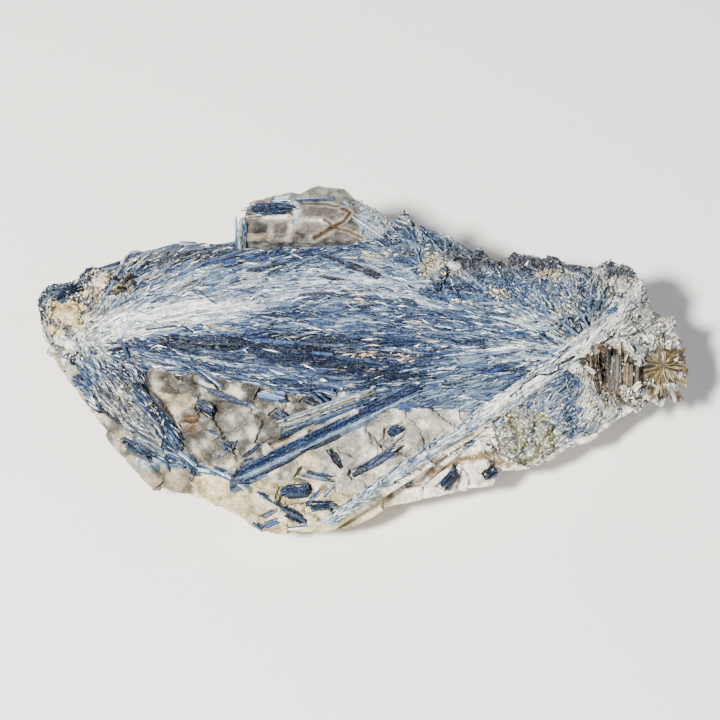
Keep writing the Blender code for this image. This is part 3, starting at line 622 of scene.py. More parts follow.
# Kyanite is pearly on its flat cleavage, with fine striae along each blade. White flecks, dust
# and pits break up the shine.
KYANITE, kyanite_shader = new_material("kyanite blades", Roughness=0.5, IOR=1.55,
                                       Specular_IOR_Level=0.14)
painted = node(KYANITE, "VertexColor", {"layer_name": "colour"}).outputs["Color"]
along = node(KYANITE, "UVMap", {"uv_map": "grain"}).outputs["UV"]
drawn = node(KYANITE, "Mapping", Vector=along, Scale=(2.5, 32.0, 1.0)).outputs[0]
striae = node(KYANITE, "TexNoise", Vector=drawn, Scale=1.0, Detail=4.0,
              Roughness=0.75).outputs["Fac"]
streaks = node(KYANITE, "MapRange", Value=striae, From_Min=0.3, From_Max=0.7, To_Min=0.25,
               To_Max=1.6).outputs[0]
streaked = node(KYANITE, "VectorMath", {"operation": "SCALE"}, _0=painted,
                _3=streaks).outputs[0]
finely_drawn = node(KYANITE, "Mapping", Vector=along, Scale=(5.0, 90.0, 1.0),
                    Location=(4.0, 7.0, 0.0)).outputs[0]
flecks = node(KYANITE, "TexNoise", Vector=finely_drawn, Scale=1.0, Detail=3.0).outputs["Fac"]
white = node(KYANITE, "MapRange", Value=flecks, From_Min=0.6, From_Max=0.78,
             To_Max=0.17).outputs[0]
flecked = node(KYANITE, "Mix", {"data_type": "RGBA"}, _0=white, _6=streaked,
               _7=shade("#dfe8ea")).outputs[2]
whereabouts = node(KYANITE, "TexCoord").outputs["Object"]
dust = node(KYANITE, "TexNoise", Vector=whereabouts, Scale=1 / (0.55 * MM), Detail=3.0,
            Roughness=0.7).outputs["Fac"]
speckle = node(KYANITE, "MapRange", Value=dust, From_Min=0.52, From_Max=0.72,
             To_Max=0.15).outputs[0]
frosted = node(KYANITE, "Mix", {"data_type": "RGBA"}, _0=speckle, _6=flecked,
               _7=shade("#e3e6e0")).outputs[2]
pits = node(KYANITE, "MapRange", Value=dust, From_Min=0.32, From_Max=0.48,
            To_Min=0.3).outputs[0]
pitted = node(KYANITE, "VectorMath", {"operation": "SCALE"}, _0=frosted, _3=pits).outputs[0]
link(KYANITE, pitted, kyanite_shader, "Base Color")
raised = node(KYANITE, "Bump", Strength=0.6, Distance=0.12 * MM, Height=striae).outputs[0]
link(KYANITE, raised, kyanite_shader, "Normal")


def on_ridge_foot(x, y, up):
    """Whether a place is on the quartz that flanks the lower half of the long pale ridge.

    Its top is a narrow strip of kyanite, and its steep front, where up is small, is quartz.
    """
    if not -14 < x < 46 or y > -17 or from_run(OPEN_RUNS[0], x, y) < 6:
        return False
    if x > 17 and y > -33.7 + 0.645 * (x - 16.6):
        return False
    return from_run(RIDGE_RUN, x, y) > ridge_reach(x) or up < 0.55


def mottled(one, two, place, size):
    """Two colours in patches of a size in mm."""
    return mixed(one, two, 0.5 + cloudy(place, size, 3))


def ground_colour(place, normal):
    x, y = place.x / MM, place.y / MM
    if on_ridge_foot(x, y, normal.z):
        return quartz_colour(place, normal)
    if in_any(CREAM_SPOTS, x, y) > 0:
        return mottled("#8a826c", "#cdc5ae", place, 1.4)
    # Painted shade: elsewhere the ground under the blades is their blue darkened almost to black,
    # for the shade in the gaps between them.
    return mixed(kyanite_colour(x, y, 0.0), (0.005, 0.010, 0.024, 1), 0.82)


def ground_fineness(place):
    """Longest edge of the ground under the blades: fine where bare quartz shows."""
    x, y = place.x / MM, place.y / MM
    return 0.65 * MM if (y < -17 and 8 < x < 48) or (x < -50 and y < -18) else 1.8 * MM


ground = refined(cad_copy("kyanite_spray"), ground_fineness)
samples = list(surface_samples(ground, SEATS))
coloured(ground, ground_colour)
store = ground.loops.layers.uv.new("grain")
for face in ground.faces:
    for loop in face.loops:
        loop[store].uv = (loop.vert.co.x / MM / 10, loop.vert.co.y / MM / 10)
piece("kyanite_ground", ground, KYANITE, "kyanite_blue", "kyanite_spray")

for number, (count, narrow, wide, share, straying) in enumerate(BLADE_SIZES):
    small = number > 1
    spray = Blades()
    laid = 0
    while laid < count:
        place, normal = samples.pop()
        x, y = place.x / MM, place.y / MM
        if normal.z < -0.35 or from_run(OPEN_RUNS[0], x, y) < 1.9 or min(
                from_run(run, x, y) for run in OPEN_RUNS[1:]) < 2.1:
            continue
        near = min((Vector((x, y)) - LEFT_FOCUS).length, (Vector((x, y)) - RIGHT_FOCUS).length)
        open_room = min(1.0, max(0.25, near / 28))
        tight = 1.0
        if on_ridge_foot(x, y, normal.z) or (x < -77 and rng.random() < 0.6):
            continue
        if in_any(BARE_SPOTS, x, y) > 0 or in_any(CREAM_SPOTS, x, y) > 0.1:
            continue
        if from_run(RIDGE_RUN, x, y) < ridge_reach(x):
            open_room, tight = 0.5, 0.3
        if in_ellipse(x, y, *TANGLE) > 0.1:
            open_room = 0.34
        width = rng.uniform(narrow, wide) * (0.6 + 0.4 * open_room) * MM
        length = rng.uniform(6, 30) * open_room * share * MM
        way = turned(toward(x, y), rng.gauss(0, straying * tight)).to_3d()
        spread = 0.10 if is_loose(x, y) else 0.12 + 0.05 * number
        colour = kyanite_colour(x, y, rng.gauss(0, 1), spread)
        speckle = rng.random() * (2.2 if is_loose(x, y) else 1.0)
        # Painted sparkle and shade: some small fibres are white, more often where the kyanite is
        # pale, for glints, and the rest of these near-black, for the shade in the slits between
        # blades.
        if small and speckle < 0.22:
            pale = 1.25 - depth_of_blue(x, y)
            colour = shade("#f1f3ee" if rng.random() < 0.85 * pale else "#0b1a36")
            width = min(width, 0.2 * MM)
        if small and rng.random() < cream_share(x, y):
            colour = one_of(CREAMS)
            length = min(length, between(1.2, 4.5))
            width = min(width, 0.26 * MM)
        if small and x < -30 and depth_of_blue(x, y) < 0.38 and rng.random() < 0.4:
            colour = one_of(MOTTLES)
            length = min(length, between(0.8, 2.6))
        lift = between(0.0, 0.55) + 0.18 * number * MM
        for _ in range(2):
            if grow_blade(spray, SPRAY_TREE, place, way, length, width, between(0.4, 0.8),
                          colour, lift, MICA_NODE_TREE, pointed=width < 0.46 * MM):
                laid += 1
                break
            length /= 2
    piece("kyanite_spray_blades_" + "abcd"[number], spray.bm, KYANITE, "kyanite_blue")

# ------------------------------------------------------------------ the two long blades
# A blue blade 59 mm long and a shorter one beside it, which lie over the quartz. Each is a
# bundle of flat strips split along the cleavage. Ends are x, y, z in mm.
LONG_BLADE = ((-34.6, -35.9, 21.0), (18.2, -14.4, 34.9))
SHORT_BLADE = ((-21.2, -23.5, 27.6), (5.0, -16.4, 33.9))
SIDE_BLADES = (((-63.4, -11.9, 33.0), (-55.4, -19.2, 31.3)),
               ((-57.0, -17.8, 31.9), (-48.4, -25.6, 22.6)))
SLIT_BLADE = ((-71.0, -4.4, 29.3), (-63.6, -11.6, 31.1))
END_BLADE = ((-47.6, -26.4, 20.5), (-44.4, -31.6, 15.2))
LONG_COLOURS = ["#4f6f92", "#101f3d", "#16305f", "#0b1a3b", "#152e5c", "#0e1f42", "#1f3d6c",
                "#4d6e94", "#b9c9d2", "#7f9bb5"]
SHORT_COLOURS = ["#6d8bad", "#8d9a9c", "#bdb8a6", "#1e3660", "#a09b88", "#5a789b", "#172c55",
                 "#b5b09b", "#3c5a84"]
SIDE_COLOURS = ["#141f35", "#233b60", "#1a2f50", "#2f4c75", "#203556", "#4a6583"]
FROST_COLOURS = ["#d9dedb", "#a9b8c2", "#7e95aa", "#47627f", "#14233e", "#0b1526", "#c9c2ad"]
CORE_COLOURS = ["#0b1a3b", "#10224a", "#1b3769", "#2a4b7c", "#6c89a8", "#0a1428"]


def bundle(blades, start, end, up, width, thick, colours, raggedness=2.5, point=0.0):
    """Strips side by side from start to end, with uneven ends and a little up and down.

    The colours run across the blade; a point pulls in the strips at its edges, in mm.
    """
    axis = (end - start).normalized()
    side = axis.cross(up).normalized()
    count = max(3, round(width / (0.42 * MM)))
    edges = [0.0] + sorted(k / count + rng.uniform(-0.3, 0.3) / count
                           for k in range(1, count)) + [1.0]
    for low, high in zip(edges, edges[1:]):
        share = (low + high) / 2
        across = side * (share - 0.5) * width
        drawn_in = point * abs(2 * share - 1) * MM
        first = start + across + axis * (between(0, raggedness) + drawn_in)
        last = end + across - axis * (between(0, raggedness) + drawn_in)
        top = up * (thick / 2 + between(-0.2, 0.15))
        bow = up * 2 * between(0, 0.12)
        plain = shade(colours[min(len(colours) - 1, int(share * len(colours)))])
        parts = max(1, round((last - first).length / (7 * MM)))
        for n in range(parts):
            start_share, end_share = max(0.0, (n - 0.2) / parts), min(1.0, (n + 1.2) / parts)
            one, two = first.lerp(last, start_share), first.lerp(last, end_share)
            offset = top + up * between(-0.16, 0.1) * min(1, parts - 1)
            colour = mixed(plain, "#dfe6e8", max(0.0, rng.uniform(-0.06, 0.04)))
            colour = mixed(colour, "#0a1630", max(0.0, rng.uniform(-0.2, 0.5)))
            way = (two - one) * (0.5 if parts == 1 else rng.uniform(0.4, 0.6))
            blades.add([one + offset, one + way + offset + bow * (0.25 if parts == 1 else 0),
                        two + offset], [up] * 3,
                       (high - low) * width * rng.uniform(0.95, 1.2), thick, colour,
                       rng.gauss(0, 0.15), rng.uniform(0.4, 0.95))


def frost_over(blades, start, end, up, width, thick, count, colours, reach=3.0):
    """Loose fibres and broken slivers strewn along a bundle's face."""
    axis = (end - start).normalized()
    side = axis.cross(up).normalized()
    length = (end - start).length
    for _ in range(count):
        size = between(0.25, 1.0) * reach
        centre = start + axis * rng.uniform(0, length) + side * rng.gauss(0, 0.32) * width
        centre += up * (thick / 2 + between(-0.05, 0.2))
        way = (axis + side * rng.gauss(0, 0.14) + up * rng.gauss(0, 0.03)) * size / 2
        blades.add([centre - way, centre, centre + way], [up] * 3, between(0.12, 0.3),
                   0.5 * MM, one_of(colours), rng.gauss(0, 0.3), 1.0, rng.uniform(-0.3, 0.3),
                   pointed=True)


long_blades = Blades()
SPECIMEN_TREE = tree_of("kyanite_spray", "quartz_matrix")
DROP_HEIGHT = 90.0  # mm, well above the specimen


def dropped(tree, x, y):
    """The topmost place of a tree at x, y in mm and its normal; both None if it has none."""
    return tree.ray_cast(Vector((x, y, DROP_HEIGHT)) * MM, Vector((0, 0, -1)))[:2]


def above(start, end, clearance):
    """The ends of a straight line, lifted until it just clears the specimen, in metres."""
    start, end = Vector(start) * MM, Vector(end) * MM
    lift = -1.0
    for step in range(9):
        place = start.lerp(end, 0.04 + 0.115 * step)
        top = dropped(SPECIMEN_TREE, place.x / MM, place.y / MM)[0]
        if top is not None:
            lift = max(lift, top.z - place.z)
    lift = Vector((0, 0, lift + clearance * MM))
    return start + lift, end + lift


# Ends, width, thickness above what carries it and below it, colours, clearance and point in mm,
# and the colours of the slivers strewn over it.
for ends, width, thick, foot, colours, clearance, point, over in (
        (LONG_BLADE, 3.7, 2.0, 2.2, LONG_COLOURS, 0.0, 2.5, CORE_COLOURS),
        (SHORT_BLADE, 4.0, 2.0, 2.4, SHORT_COLOURS, 0.0, 0.0, FROST_COLOURS),
        (SIDE_BLADES[0], 4.0, 1.4, 3.0, SIDE_COLOURS, -0.8, 0.5, FROST_COLOURS),
        (SIDE_BLADES[1], 4.0, 1.4, 3.0, SIDE_COLOURS, -0.8, 0.5, FROST_COLOURS),
        (SLIT_BLADE, 1.6, 1.4, 1.6, ["#0c1220", "#1c2d4a", "#3a5174"], -0.2, 1.0, CORE_COLOURS),
        (END_BLADE, 3.2, 1.4, 3.0, SIDE_COLOURS, -0.2, 0.8, CORE_COLOURS)):
    start, end = above(*ends, clearance)
    up = Vector((0.1, -0.15, 1)).normalized()
    sunk = up * foot / 2 * MM
    bundle(long_blades, start - sunk, end - sunk, up, width * MM, (thick + foot) * MM,
           colours, 2.5, point)
    frost_over(long_blades, start, end, up, width * MM, thick * MM,
               round((end - start).length / MM * width * 0.9), over)
piece("long_kyanite_blades", long_blades.bm, KYANITE, "kyanite_blue")

# ------------------------------------------------------------------ small loose blades
# Short single blades of kyanite frozen in the quartz, each split into a few strips and
# broken off at a slant. Most are dark, with a paler face or edge.
LOOSE = {
    "pocket_needle": ["#3a506f", "#1b2b47"],
    "pocket_pale_blade": ["#50739d", "#7f9dbc", "#41628e"],
    "pocket_stub": ["#131e34", "#1f304c", "#182641"],
    "pocket_dark_blade": ["#10192c", "#1a2a47", "#243858"],
    "pocket_chip": ["#233755", "#162642"],
    "pocket_splinter": ["#131b29", "#243146"],
    "band_bar": ["#12151d", "#202736"],
    "band_pale_blade": ["#40597a", "#6f808f"],
    "band_blue_blade": ["#1b2f51", "#0e1e3a", "#152949", "#455f81"],
    "band_chip": ["#172a4d", "#102242"],
    "rim_chunk": ["#101c33", "#1d304d", "#142440", "#2c4261"],
    "rim_splinter": ["#152137", "#30435e"],
    "rim_blade_front": ["#1a2437", "#374a61", "#121b2b"],
    "rim_blade_right": ["#162642", "#2f4363", "#111e34"],
    "rim_blade_corner": ["#141d30", "#263a58"],
    "rim_blade_left": ["#192333", "#344355"],
    "left_end_blade": ["#1c2c4a", "#354b6d", "#142037", "#4a617c"],
    "block_cap_blade": ["#1a2946", "#141e33", "#283e62"],
    "block_side_blade": ["#b3c8d8", "#dbe5ea", "#93adc4"],
}
DARK_BLADES = ("pocket_dark_blade", "band_bar", "rim_chunk", "left_end_blade",
               "block_cap_blade", "block_side_blade")
# The way the quartz face looks: up and to the front.
OUTWARD = Vector((0.0, -0.5, 0.866))


def span(places, way):
    """The lowest and the highest of some places along a way."""
    along = [place.dot(way) for place in places]
    return min(along), max(along)


def axes_of(name):
    """A blade node's middle, its length, width and up axes, and its three sizes."""
    bm = cad_copy(name)
    places = [v.co.copy() for v in bm.verts]
    bm.free()
    middle = sum(places, Vector()) / len(places)
    gaps = [p - middle for p in places]
    along = Vector((0.7, 0.5, 0.5))
    for _ in range(30):
        along = sum((gap * gap.dot(along) for gap in gaps), Vector()).normalized()
    up = min((Matrix.Rotation(math.radians(turn), 3, along) @ along.orthogonal()
              for turn in range(0, 180, 3)),
             key=lambda way: span(places, way)[1] - span(places, way)[0]).normalized()
    if up.z <= 0:
        up = -up
    spans = [span(places, way) for way in (along.cross(up), up)]
    width, thick = (high - low for low, high in spans)
    if width < 1.7 * thick and abs(up.dot(OUTWARD)) < 0.7:
        up = square_to(along, OUTWARD).normalized()
    ways = (along, along.cross(up), up)
    spans = [span(places, way) for way in ways]
    middle = sum((w * (low + high) / 2 for w, (low, high) in zip(ways, spans)), Vector())
    return middle, along, up, [high - low for low, high in spans]


for name, colours in LOOSE.items():
    blade = Blades()
    middle, along, up, (length, width, thick) = axes_of(name)
    half = along * length * (0.47 if name != "pocket_dark_blade" else 0.28)
    ragged = 0.2 if name != "block_side_blade" else 0.03
    bundle(blade, middle - half, middle + half, up, width * 0.92, thick, colours,
           ragged * length / MM, ragged * length / MM / 2)
    frost_over(blade, middle - half * 0.85, middle + half * 0.85, up, width * 0.8, thick,
               round(length * width / MM / MM * 0.8), CORE_COLOURS + FROST_COLOURS[2:],
               0.3 * length / MM)
    slot = "kyanite_pale" if "pale" in name else "kyanite_blue"
    piece(name + "_strips", blade.bm, KYANITE,
          "kyanite_dark" if name in DARK_BLADES else slot, name)

# Single dark needles and thin blades lying in the quartz and between the sheaves, and fibres
# of the pale vein on the front: ends x, y, x, y in mm, width in mm, colours.
BLACK = ["#0a1220", "#16243c", "#0c1626"]
DARK = ["#0f1829", "#1c2d49", "#31496b"]
NAVY = ["#14264a", "#1f3a6c", "#2c4d80"]
STEEL = ["#a7b9c4", "#4a6890", "#1c3155", "#8ba1b3", "#dfe4e0", "#35537f"]
NEEDLES = (
    (50.0, 18.7, 54.3, 14.0, 0.9, DARK), (67.8, 14.0, 66.3, 9.4, 1.1, DARK),
    (65.6, 15.4, 65.1, 10.6, 0.8, DARK), (69.0, 8.7, 72.4, 9.6, 1.6, NAVY),
    (-10.8, 29.0, -3.0, 24.6, 1.3, BLACK), (-3.6, 25.0, 6.8, 19.7, 2.0, BLACK),
    (-14.0, -12.0, -8.1, -18.6, 0.8, DARK),
    (-10.5, -12.9, -7.3, -17.2, 0.7, DARK), (34.0, 8.5, 43.0, 7.2, 0.8, DARK),
    (38.5, 2.2, 47.4, 1.6, 1.4, NAVY), (33.5, -10.0, 40.5, -7.6, 1.2, NAVY),
    (-32.2, -28.6, -26.2, -26.4, 0.9, DARK), (-31.5, -30.2, -28.6, -29.6, 0.8, DARK),
    (-41.6, -22.2, -37.6, -23.4, 0.8, DARK), (-38.8, -28.6, -33.2, -24.3, 2.0, DARK),
    (-27.8, -37.7, -20.6, -41.6, 1.1, DARK), (-22.2, -40.8, -13.2, -46.0, 1.2, DARK),
    (-45.6, -29.0, -37.4, -31.4, 2.8, STEEL), (-40.8, -30.0, -32.6, -35.8, 2.8, STEEL),
    (-36.4, -33.6, -29.2, -38.6, 2.6, STEEL), (-49.4, -27.0, -43.8, -29.6, 2.2, STEEL),
    (-15.0, -40.9, -9.9, -37.6, 1.5, NAVY),
    (-12.6, -42.4, -8.2, -39.2, 1.6, STEEL), (-9.9, -39.8, -6.2, -36.6, 0.9, STEEL),
    (-27.1, -43.7, -21.8, -42.0, 1.3, DARK), (-26.8, -45.6, -21.4, -44.4, 1.7, NAVY),
    (-29.1, -44.6, -25.8, -46.8, 1.2, DARK), (-22.7, -46.6, -13.0, -46.4, 1.2, STEEL),
    (-52.9, -28.2, -52.3, -30.6, 0.9, DARK), (-52.2, -27.6, -49.0, -28.0, 1.3, STEEL),
    (-75.6, 2.2, -73.0, 0.4, 0.8, DARK), (-66.0, -19.9, -56.4, -27.6, 1.2, DARK),
    (22.5, -37.6, 24.6, -34.4, 1.3, NAVY), (8.8, -25.6, 13.2, -23.8, 1.1, STEEL),
    (-71.2, 1.2, -58.0, 0.2, 0.8, BLACK), (-58.0, 0.2, -46.9, 1.2, 0.9, BLACK),
    (-46.8, 0.9, -31.5, -0.6, 0.9, BLACK), (-30.0, 0.8, -4.0, -2.2, 0.8, NAVY),
    (-31.9, 24.2, -19.8, 26.2, 1.1, BLACK), (-26.2, 22.1, -21.5, 24.1, 1.0, DARK),
    (-19.1, 23.5, -10.7, 27.9, 1.0, DARK), (-18.0, 14.7, -7.8, 14.4, 1.2, BLACK),
    (-10.1, 20.8, -4.2, 19.5, 0.9, BLACK), (11.8, 13.1, 16.3, 12.4, 0.7, BLACK),
    (-3.6, 13.4, 17.5, 11.1, 0.7, DARK), (-16.1, -1.0, 0.6, -4.2, 0.9, BLACK),
    (-47.1, -5.2, -39.2, -9.4, 1.0, DARK), (-45.0, -5.8, -37.0, -10.0, 0.8, STEEL),
    (-33.6, -13.0, -28.1, -17.0, 1.3, STEEL), (-44.7, 26.2, -36.8, 28.2, 1.8, NAVY),
    (34.6, -26.9, 38.6, -27.2, 0.9, BLACK),
    (-14.0, -3.4, 8.0, -7.4, 0.8, NAVY), (-60.0, 5.4, -50.0, 5.9, 0.6, DARK),
)
# The crack along the pale ridge, drawn as near-black strips on the surface that are painted
# shade: x, y in mm.
CRACK_SHADE_RUN = ((41.3, -18.0), (43.6, -16.3), (44.9, -14.2), (46.8, -12.9), (49.2, -11.2),
         (51.9, -11.1), (54.7, -9.6), (55.3, -7.9), (57.9, -6.6), (59.4, -5.5))


def pieces_of(ax, ay, bx, by, width, colours):
    """A long needle as overlapping parts of about 7 mm, so that it follows the surface."""
    count = max(1, round(math.hypot(bx - ax, by - ay) / 7))
    for n in range(count):
        low, high = max(0.0, (n - 0.1) / count), min(1.0, (n + 1.1) / count)
        yield (ax + (bx - ax) * low, ay + (by - ay) * low,
               ax + (bx - ax) * high, ay + (by - ay) * high, width, colours)


def heap_of(*names):
    """One search tree of finished pieces, to lay others on top of them."""
    places, faces = [], []
    for name in names:
        start = len(places)
        mesh = bpy.data.objects[name].data
        places.extend(v.co.copy() for v in mesh.vertices)
        faces.extend([start + k for k in face.vertices] for face in mesh.polygons)
    return BVHTree.FromPolygons(places, faces)


def laid_over(heap, ax, ay, bx, by, share, clearance):
    """Both ends of a straight line on a heap, lifted by a share of what rises between them."""
    start, end = dropped(heap, ax, ay)[0], dropped(heap, bx, by)[0]
    middle = dropped(heap, (ax + bx) / 2, (ay + by) / 2)[0]
    if None in (start, end, middle):
        return None
    rise = max(0.0, middle.z - ((start + end) / 2).z)
    lift = Vector((0, 0, rise * share + clearance * MM))
    return start + lift, end + lift


UP = Vector((0, 0, 1))
heap = heap_of("quartz_rock", "kyanite_ground", "kyanite_spray_blades_a",
               "kyanite_spray_blades_b", "kyanite_spray_blades_c", "kyanite_spray_blades_d")
needles = Blades()
for ax, ay, bx, by, width, colours in [
        part for needle in NEEDLES for part in pieces_of(*needle)]:
    ends = laid_over(heap, ax, ay, bx, by, 0.7, 0.1)
    if ends is None:
        continue
    length = (ends[1] - ends[0]).length / MM
    bundle(needles, *ends, UP, width * MM, 0.7 * MM, colours, 0.16 * length, 0.1 * length)
    frost_over(needles, *ends, UP, width * MM, 0.7 * MM, round(length * 0.6),
               colours + FROST_COLOURS[1:6], 2.0)
CRACK_LIFT = UP * 0.3 * MM
CRACK_PARTS = 5  # to each leg of its run
# Painted shade: the crack is near-black strips laid just over the surface.
for (ax, ay), (bx, by) in zip(CRACK_SHADE_RUN, CRACK_SHADE_RUN[1:]):
    for n in range(CRACK_PARTS):
        one, two = (dropped(heap, ax + (bx - ax) * s, ay + (by - ay) * s)[0] + CRACK_LIFT
                    for s in (n / CRACK_PARTS - 0.05, (n + 1) / CRACK_PARTS + 0.05))
        needles.add([one, (one + two) / 2, two], [UP] * 3, 0.42 * MM, 0.6 * MM,
                    shade("#0b0f16"), 0.0, 0.9)
piece("kyanite_needles", needles.bm, KYANITE, "kyanite_blue")

# ------------------------------------------------------------------ the quartz block
# A clear to smoky block of quartz behind the spray, with flat broken faces, cloudy inside, and
# crossed by iron-stained cracks on its front.
# Its front leans back. Places on it are x and the height up the lean, in mm. Windows of clear
# quartz are x, height, radii and darkness; seams between them are runs with a colour.
LEAN = Vector((0.0, 0.866, 0.5))
WINDOWS = ((-27.7, 49.4, 3.5, 3.1, 0.9), (-22.2, 50.2, 2.5, 2.1, 0.55),
           (-14.1, 50.6, 3.4, 2.1, 0.1), (-9.8, 54.7, 5.6, 1.7, 0.5),
           (-21.4, 53.2, 3.3, 0.9, -0.6))
SEAMS = (
    (((-26.4, 52.9), (-20.4, 53.3), (-18.2, 53.1)), "#f1f0ea", 0.60),
    (((-16.0, 52.6), (-11.0, 52.3), (-8.6, 51.6)), "#e6ddc8", 0.35),
    (((-24.4, 52.2), (-24.6, 48.5)), "#a59c8c", 0.40),
    (((-19.3, 52.4), (-18.6, 50.0), (-19.8, 47.6)), "#c0b8a7", 0.50),
    (((-17.6, 56.5), (-17.2, 52.0)), "#b9c8d3", 0.80),
    (((-31.0, 47.7), (-24.8, 47.8)), "#a89a72", 0.40),
    (((-30.7, 53.0), (-25.3, 53.6), (-18.8, 54.3)), "#5a4026", 0.24),
    (((-18.9, 54.2), (-18.4, 53.8)), "#5e3f1a", 0.55),
    (((-15.8, 56.7), (-10.0, 56.8), (-5.6, 56.1)), "#5f4c38", 0.34),
    (((-12.3, 47.6), (-9.6, 49.0), (-6.9, 50.5)), "#46321f", 0.62),
    (((-6.9, 50.5), (-8.0, 51.7), (-9.6, 52.2)), "#4b3723", 0.42),
    (((-6.9, 50.5), (-3.9, 52.1), (-2.1, 54.4), (-3.4, 55.2), (-4.6, 55.3)), "#4b3723", 0.40),
    (((-6.9, 50.5), (-3.4, 49.6), (1.0, 47.5)), "#6a543a", 0.34),
)


def block_colour(place, normal):
    x, height = place.x / MM, place.dot(LEAN) / MM
    wander = 0.5 * wavy(place, 2.4) + 0.14 * wavy(place, 0.7)
    cloud = cloudy(place, 2.6, 4)
    one = mixed("#3f3c38", "#83807a", 0.4 + 0.9 * cloud)
    for wx, wy, rx, ry, dark in WINDOWS:
        inside = 1 - ((abs(x - wx + wander) / rx) ** 3 + (abs(height - wy - wander) / ry) ** 3)
        if inside > 0:
            clear = mixed("#76716b", "#2f2c2b" if dark > 0 else "#e6e3da",
                          abs(dark) * (inside + 0.3 * cloud))
            one = mixed(one, clear, min(1.0, 3 * inside))
    if x > 0.5:
        one = mixed("#5f7384", "#c6ccc8", 0.35 + cloudy(place, 1.2, 3))
    if height > 57.2 and place.y > 37 * MM:
        one = mixed("#50564f", "#8b8e84", 0.5 + cloud)
    lines = [from_run(seam[0], x + 0.5 * wander, height + 0.5 * wander) / seam[2]
             for seam in SEAMS]
    one = mixed(one, "#dcd8cc", 0.3 * math.exp(-((min(lines) - 1.7) / 0.8) ** 2))
    for line, seam in zip(lines, SEAMS):
        one = mixed(one, seam[1], 0.93 * math.exp(-line ** 4))
    return one


def block_fineness(place):
    """Longest edge of the block: fine on the front and the top, coarse on the back."""
    return 0.42 * MM if place.dot(OUTWARD) > 15.5 * MM else 1.6 * MM


CLEAR_QUARTZ = quartz_material("smoky quartz", 0.12, 0.4)
block = refined(cad_copy("quartz_block"), block_fineness)
for v in block.verts:
    v.co += v.normal * 0.35 * MM * cloudy(v.co, 3.5, 3)
coloured(block, block_colour)
piece("smoky_quartz_block", block, CLEAR_QUARTZ, "quartz_clear", "quartz_block")

# Thin kyanite blades along its top edge and down its right end: ends as x, height up the
# lean, width in mm.
BLOCK_TREE = tree_of("quartz_block")
EDGE_BLADES = (
    ((-17.8, 57.6), (-5.4, 58.2), 1.6, ["#6f8fb0", "#20375f", "#18294a", "#7c97b5"]),
    ((-18.2, 55.8), (-17.0, 52.0), 1.8, ["#c9d7df", "#9fb8cd", "#dfe8ea"]),
    ((-4.5, 57.0), (3.0, 52.0), 2.2, ["#9db2c4", "#5d7ea6", "#c5d2da", "#41608f"]),
    ((-1.5, 53.5), (7.0, 47.8), 2.4, ["#b7c6d0", "#6f8cab", "#dfe5e4", "#8aa2b8"]),
    ((-32.6, 47.4), (-31.8, 56.4), 1.6, ["#8fabc6", "#c3d3de", "#6d8eb2"]),
    ((0.5, 49.0), (4.5, 54.0), 1.5, ["#7f9ab5", "#35537f"]),
    ((-24.0, 57.6), (-18.8, 57.8), 2.6, ["#a8bfd2", "#7d9cbd", "#c9d9e2", "#5f82aa"]),
)


def on_front(x, height):
    """The place on the block's front at an x and height up the lean, and its normal."""
    start = Vector((x, 0, 0)) * MM + (LEAN * height + OUTWARD * 60) * MM
    return BLOCK_TREE.ray_cast(start, -OUTWARD)[:2]


edge_blades = Blades()
for one, two, width, colours in EDGE_BLADES:
    (start, start_up), (end, end_up) = on_front(*one), on_front(*two)
    if start is not None and end is not None:
        bundle(edge_blades, start, end, (start_up + end_up).normalized(), width * MM,
               0.9 * MM, colours, 0.8)
piece("block_edge_blades", edge_blades.bm, KYANITE, "kyanite_blue")

# ------------------------------------------------------------------ the mica
# Books of brown muscovite at the right end: standing plates in a hollow, and a rosette of
# thin curved sheets spread around a point, golden where the light comes through.
ROSETTE = Vector((85.4, -1.8, 26.0))
ROSETTE_BED = (86, -2.5, 7.5, 8)
LOWER_REACH, UPPER_REACH = 8.5, 5.0  # mm from its point, in front of it and behind it
MICA_COLOURS = ["#5a5244", "#6f6758", "#3d362c", "#8d8574", "#241f19", "#b3ada0", "#4a443b",
                "#6b5a40", "#15120e", "#2f2a23"]
FLAKE_COLOURS = ["#eceae2", "#c3c7c6", "#989fa3", "#767b7f", "#4b4841", "#cfc3aa", "#8496a6",
                 "#2b2824"]
ROSETTE_COLOURS = ["#5a4c2e", "#3a3223", "#1f1b14", "#7d6c45", "#2b261c", "#6b614b", "#4a4231",
                   "#322d22", "#8f8059", "#a59c80", "#4c422b", "#6d6448"]
RUST_COLOURS = ["#4a3a24", "#665333", "#32271b", "#7f6e48"]
# The hollow that the mica stands in, an ellipse: x, y, radii in mm, tilt. What lies beside it
# is crust. Its floor is the bed: low and high x and y, and its lowest height, in mm.
HOLLOW = (71.8, -6.9, 10.5, 4.6, -12)
BED = (66.2, 79.5, -8.6, 2.6, 21.5)
PLATE_THICK = 0.12 * MM


def painted_faces(faces, store, colour):
    """Gives every corner of some faces one colour."""
    for face in faces:
        for loop in face.loops:
            loop[store] = colour


def plate(corner, along, rise, length, height, colour):
    """One thin sheet: an uneven outline of six points, along by rise, with a real thickness."""
    normal = along.cross(rise).normalized() * PLATE_THICK / 2
    outline = ((0.0, 0.0), (1.0, rng.uniform(-0.1, 0.2)), (rng.uniform(0.9, 1.1), 0.6),
               (rng.uniform(0.6, 0.9), 1.0), (rng.uniform(0.1, 0.4), rng.uniform(0.8, 1.0)),
               (-0.05, 0.5))
    curl = normal.normalized() * between(-0.4, 0.4)
    points = [corner + along * length * s + rise * height * u + curl * s * u for s, u in outline]
    front = [plates.verts.new(p + normal) for p in points]
    back = [plates.verts.new(p - normal) for p in points]
    faces = [plates.faces.new(front), plates.faces.new(back[::-1])]
    for k in range(len(points)):
        j = (k + 1) % len(points)
        faces.append(plates.faces.new((front[k], back[k], back[j], front[j])))
    painted_faces(faces, plate_store, colour)


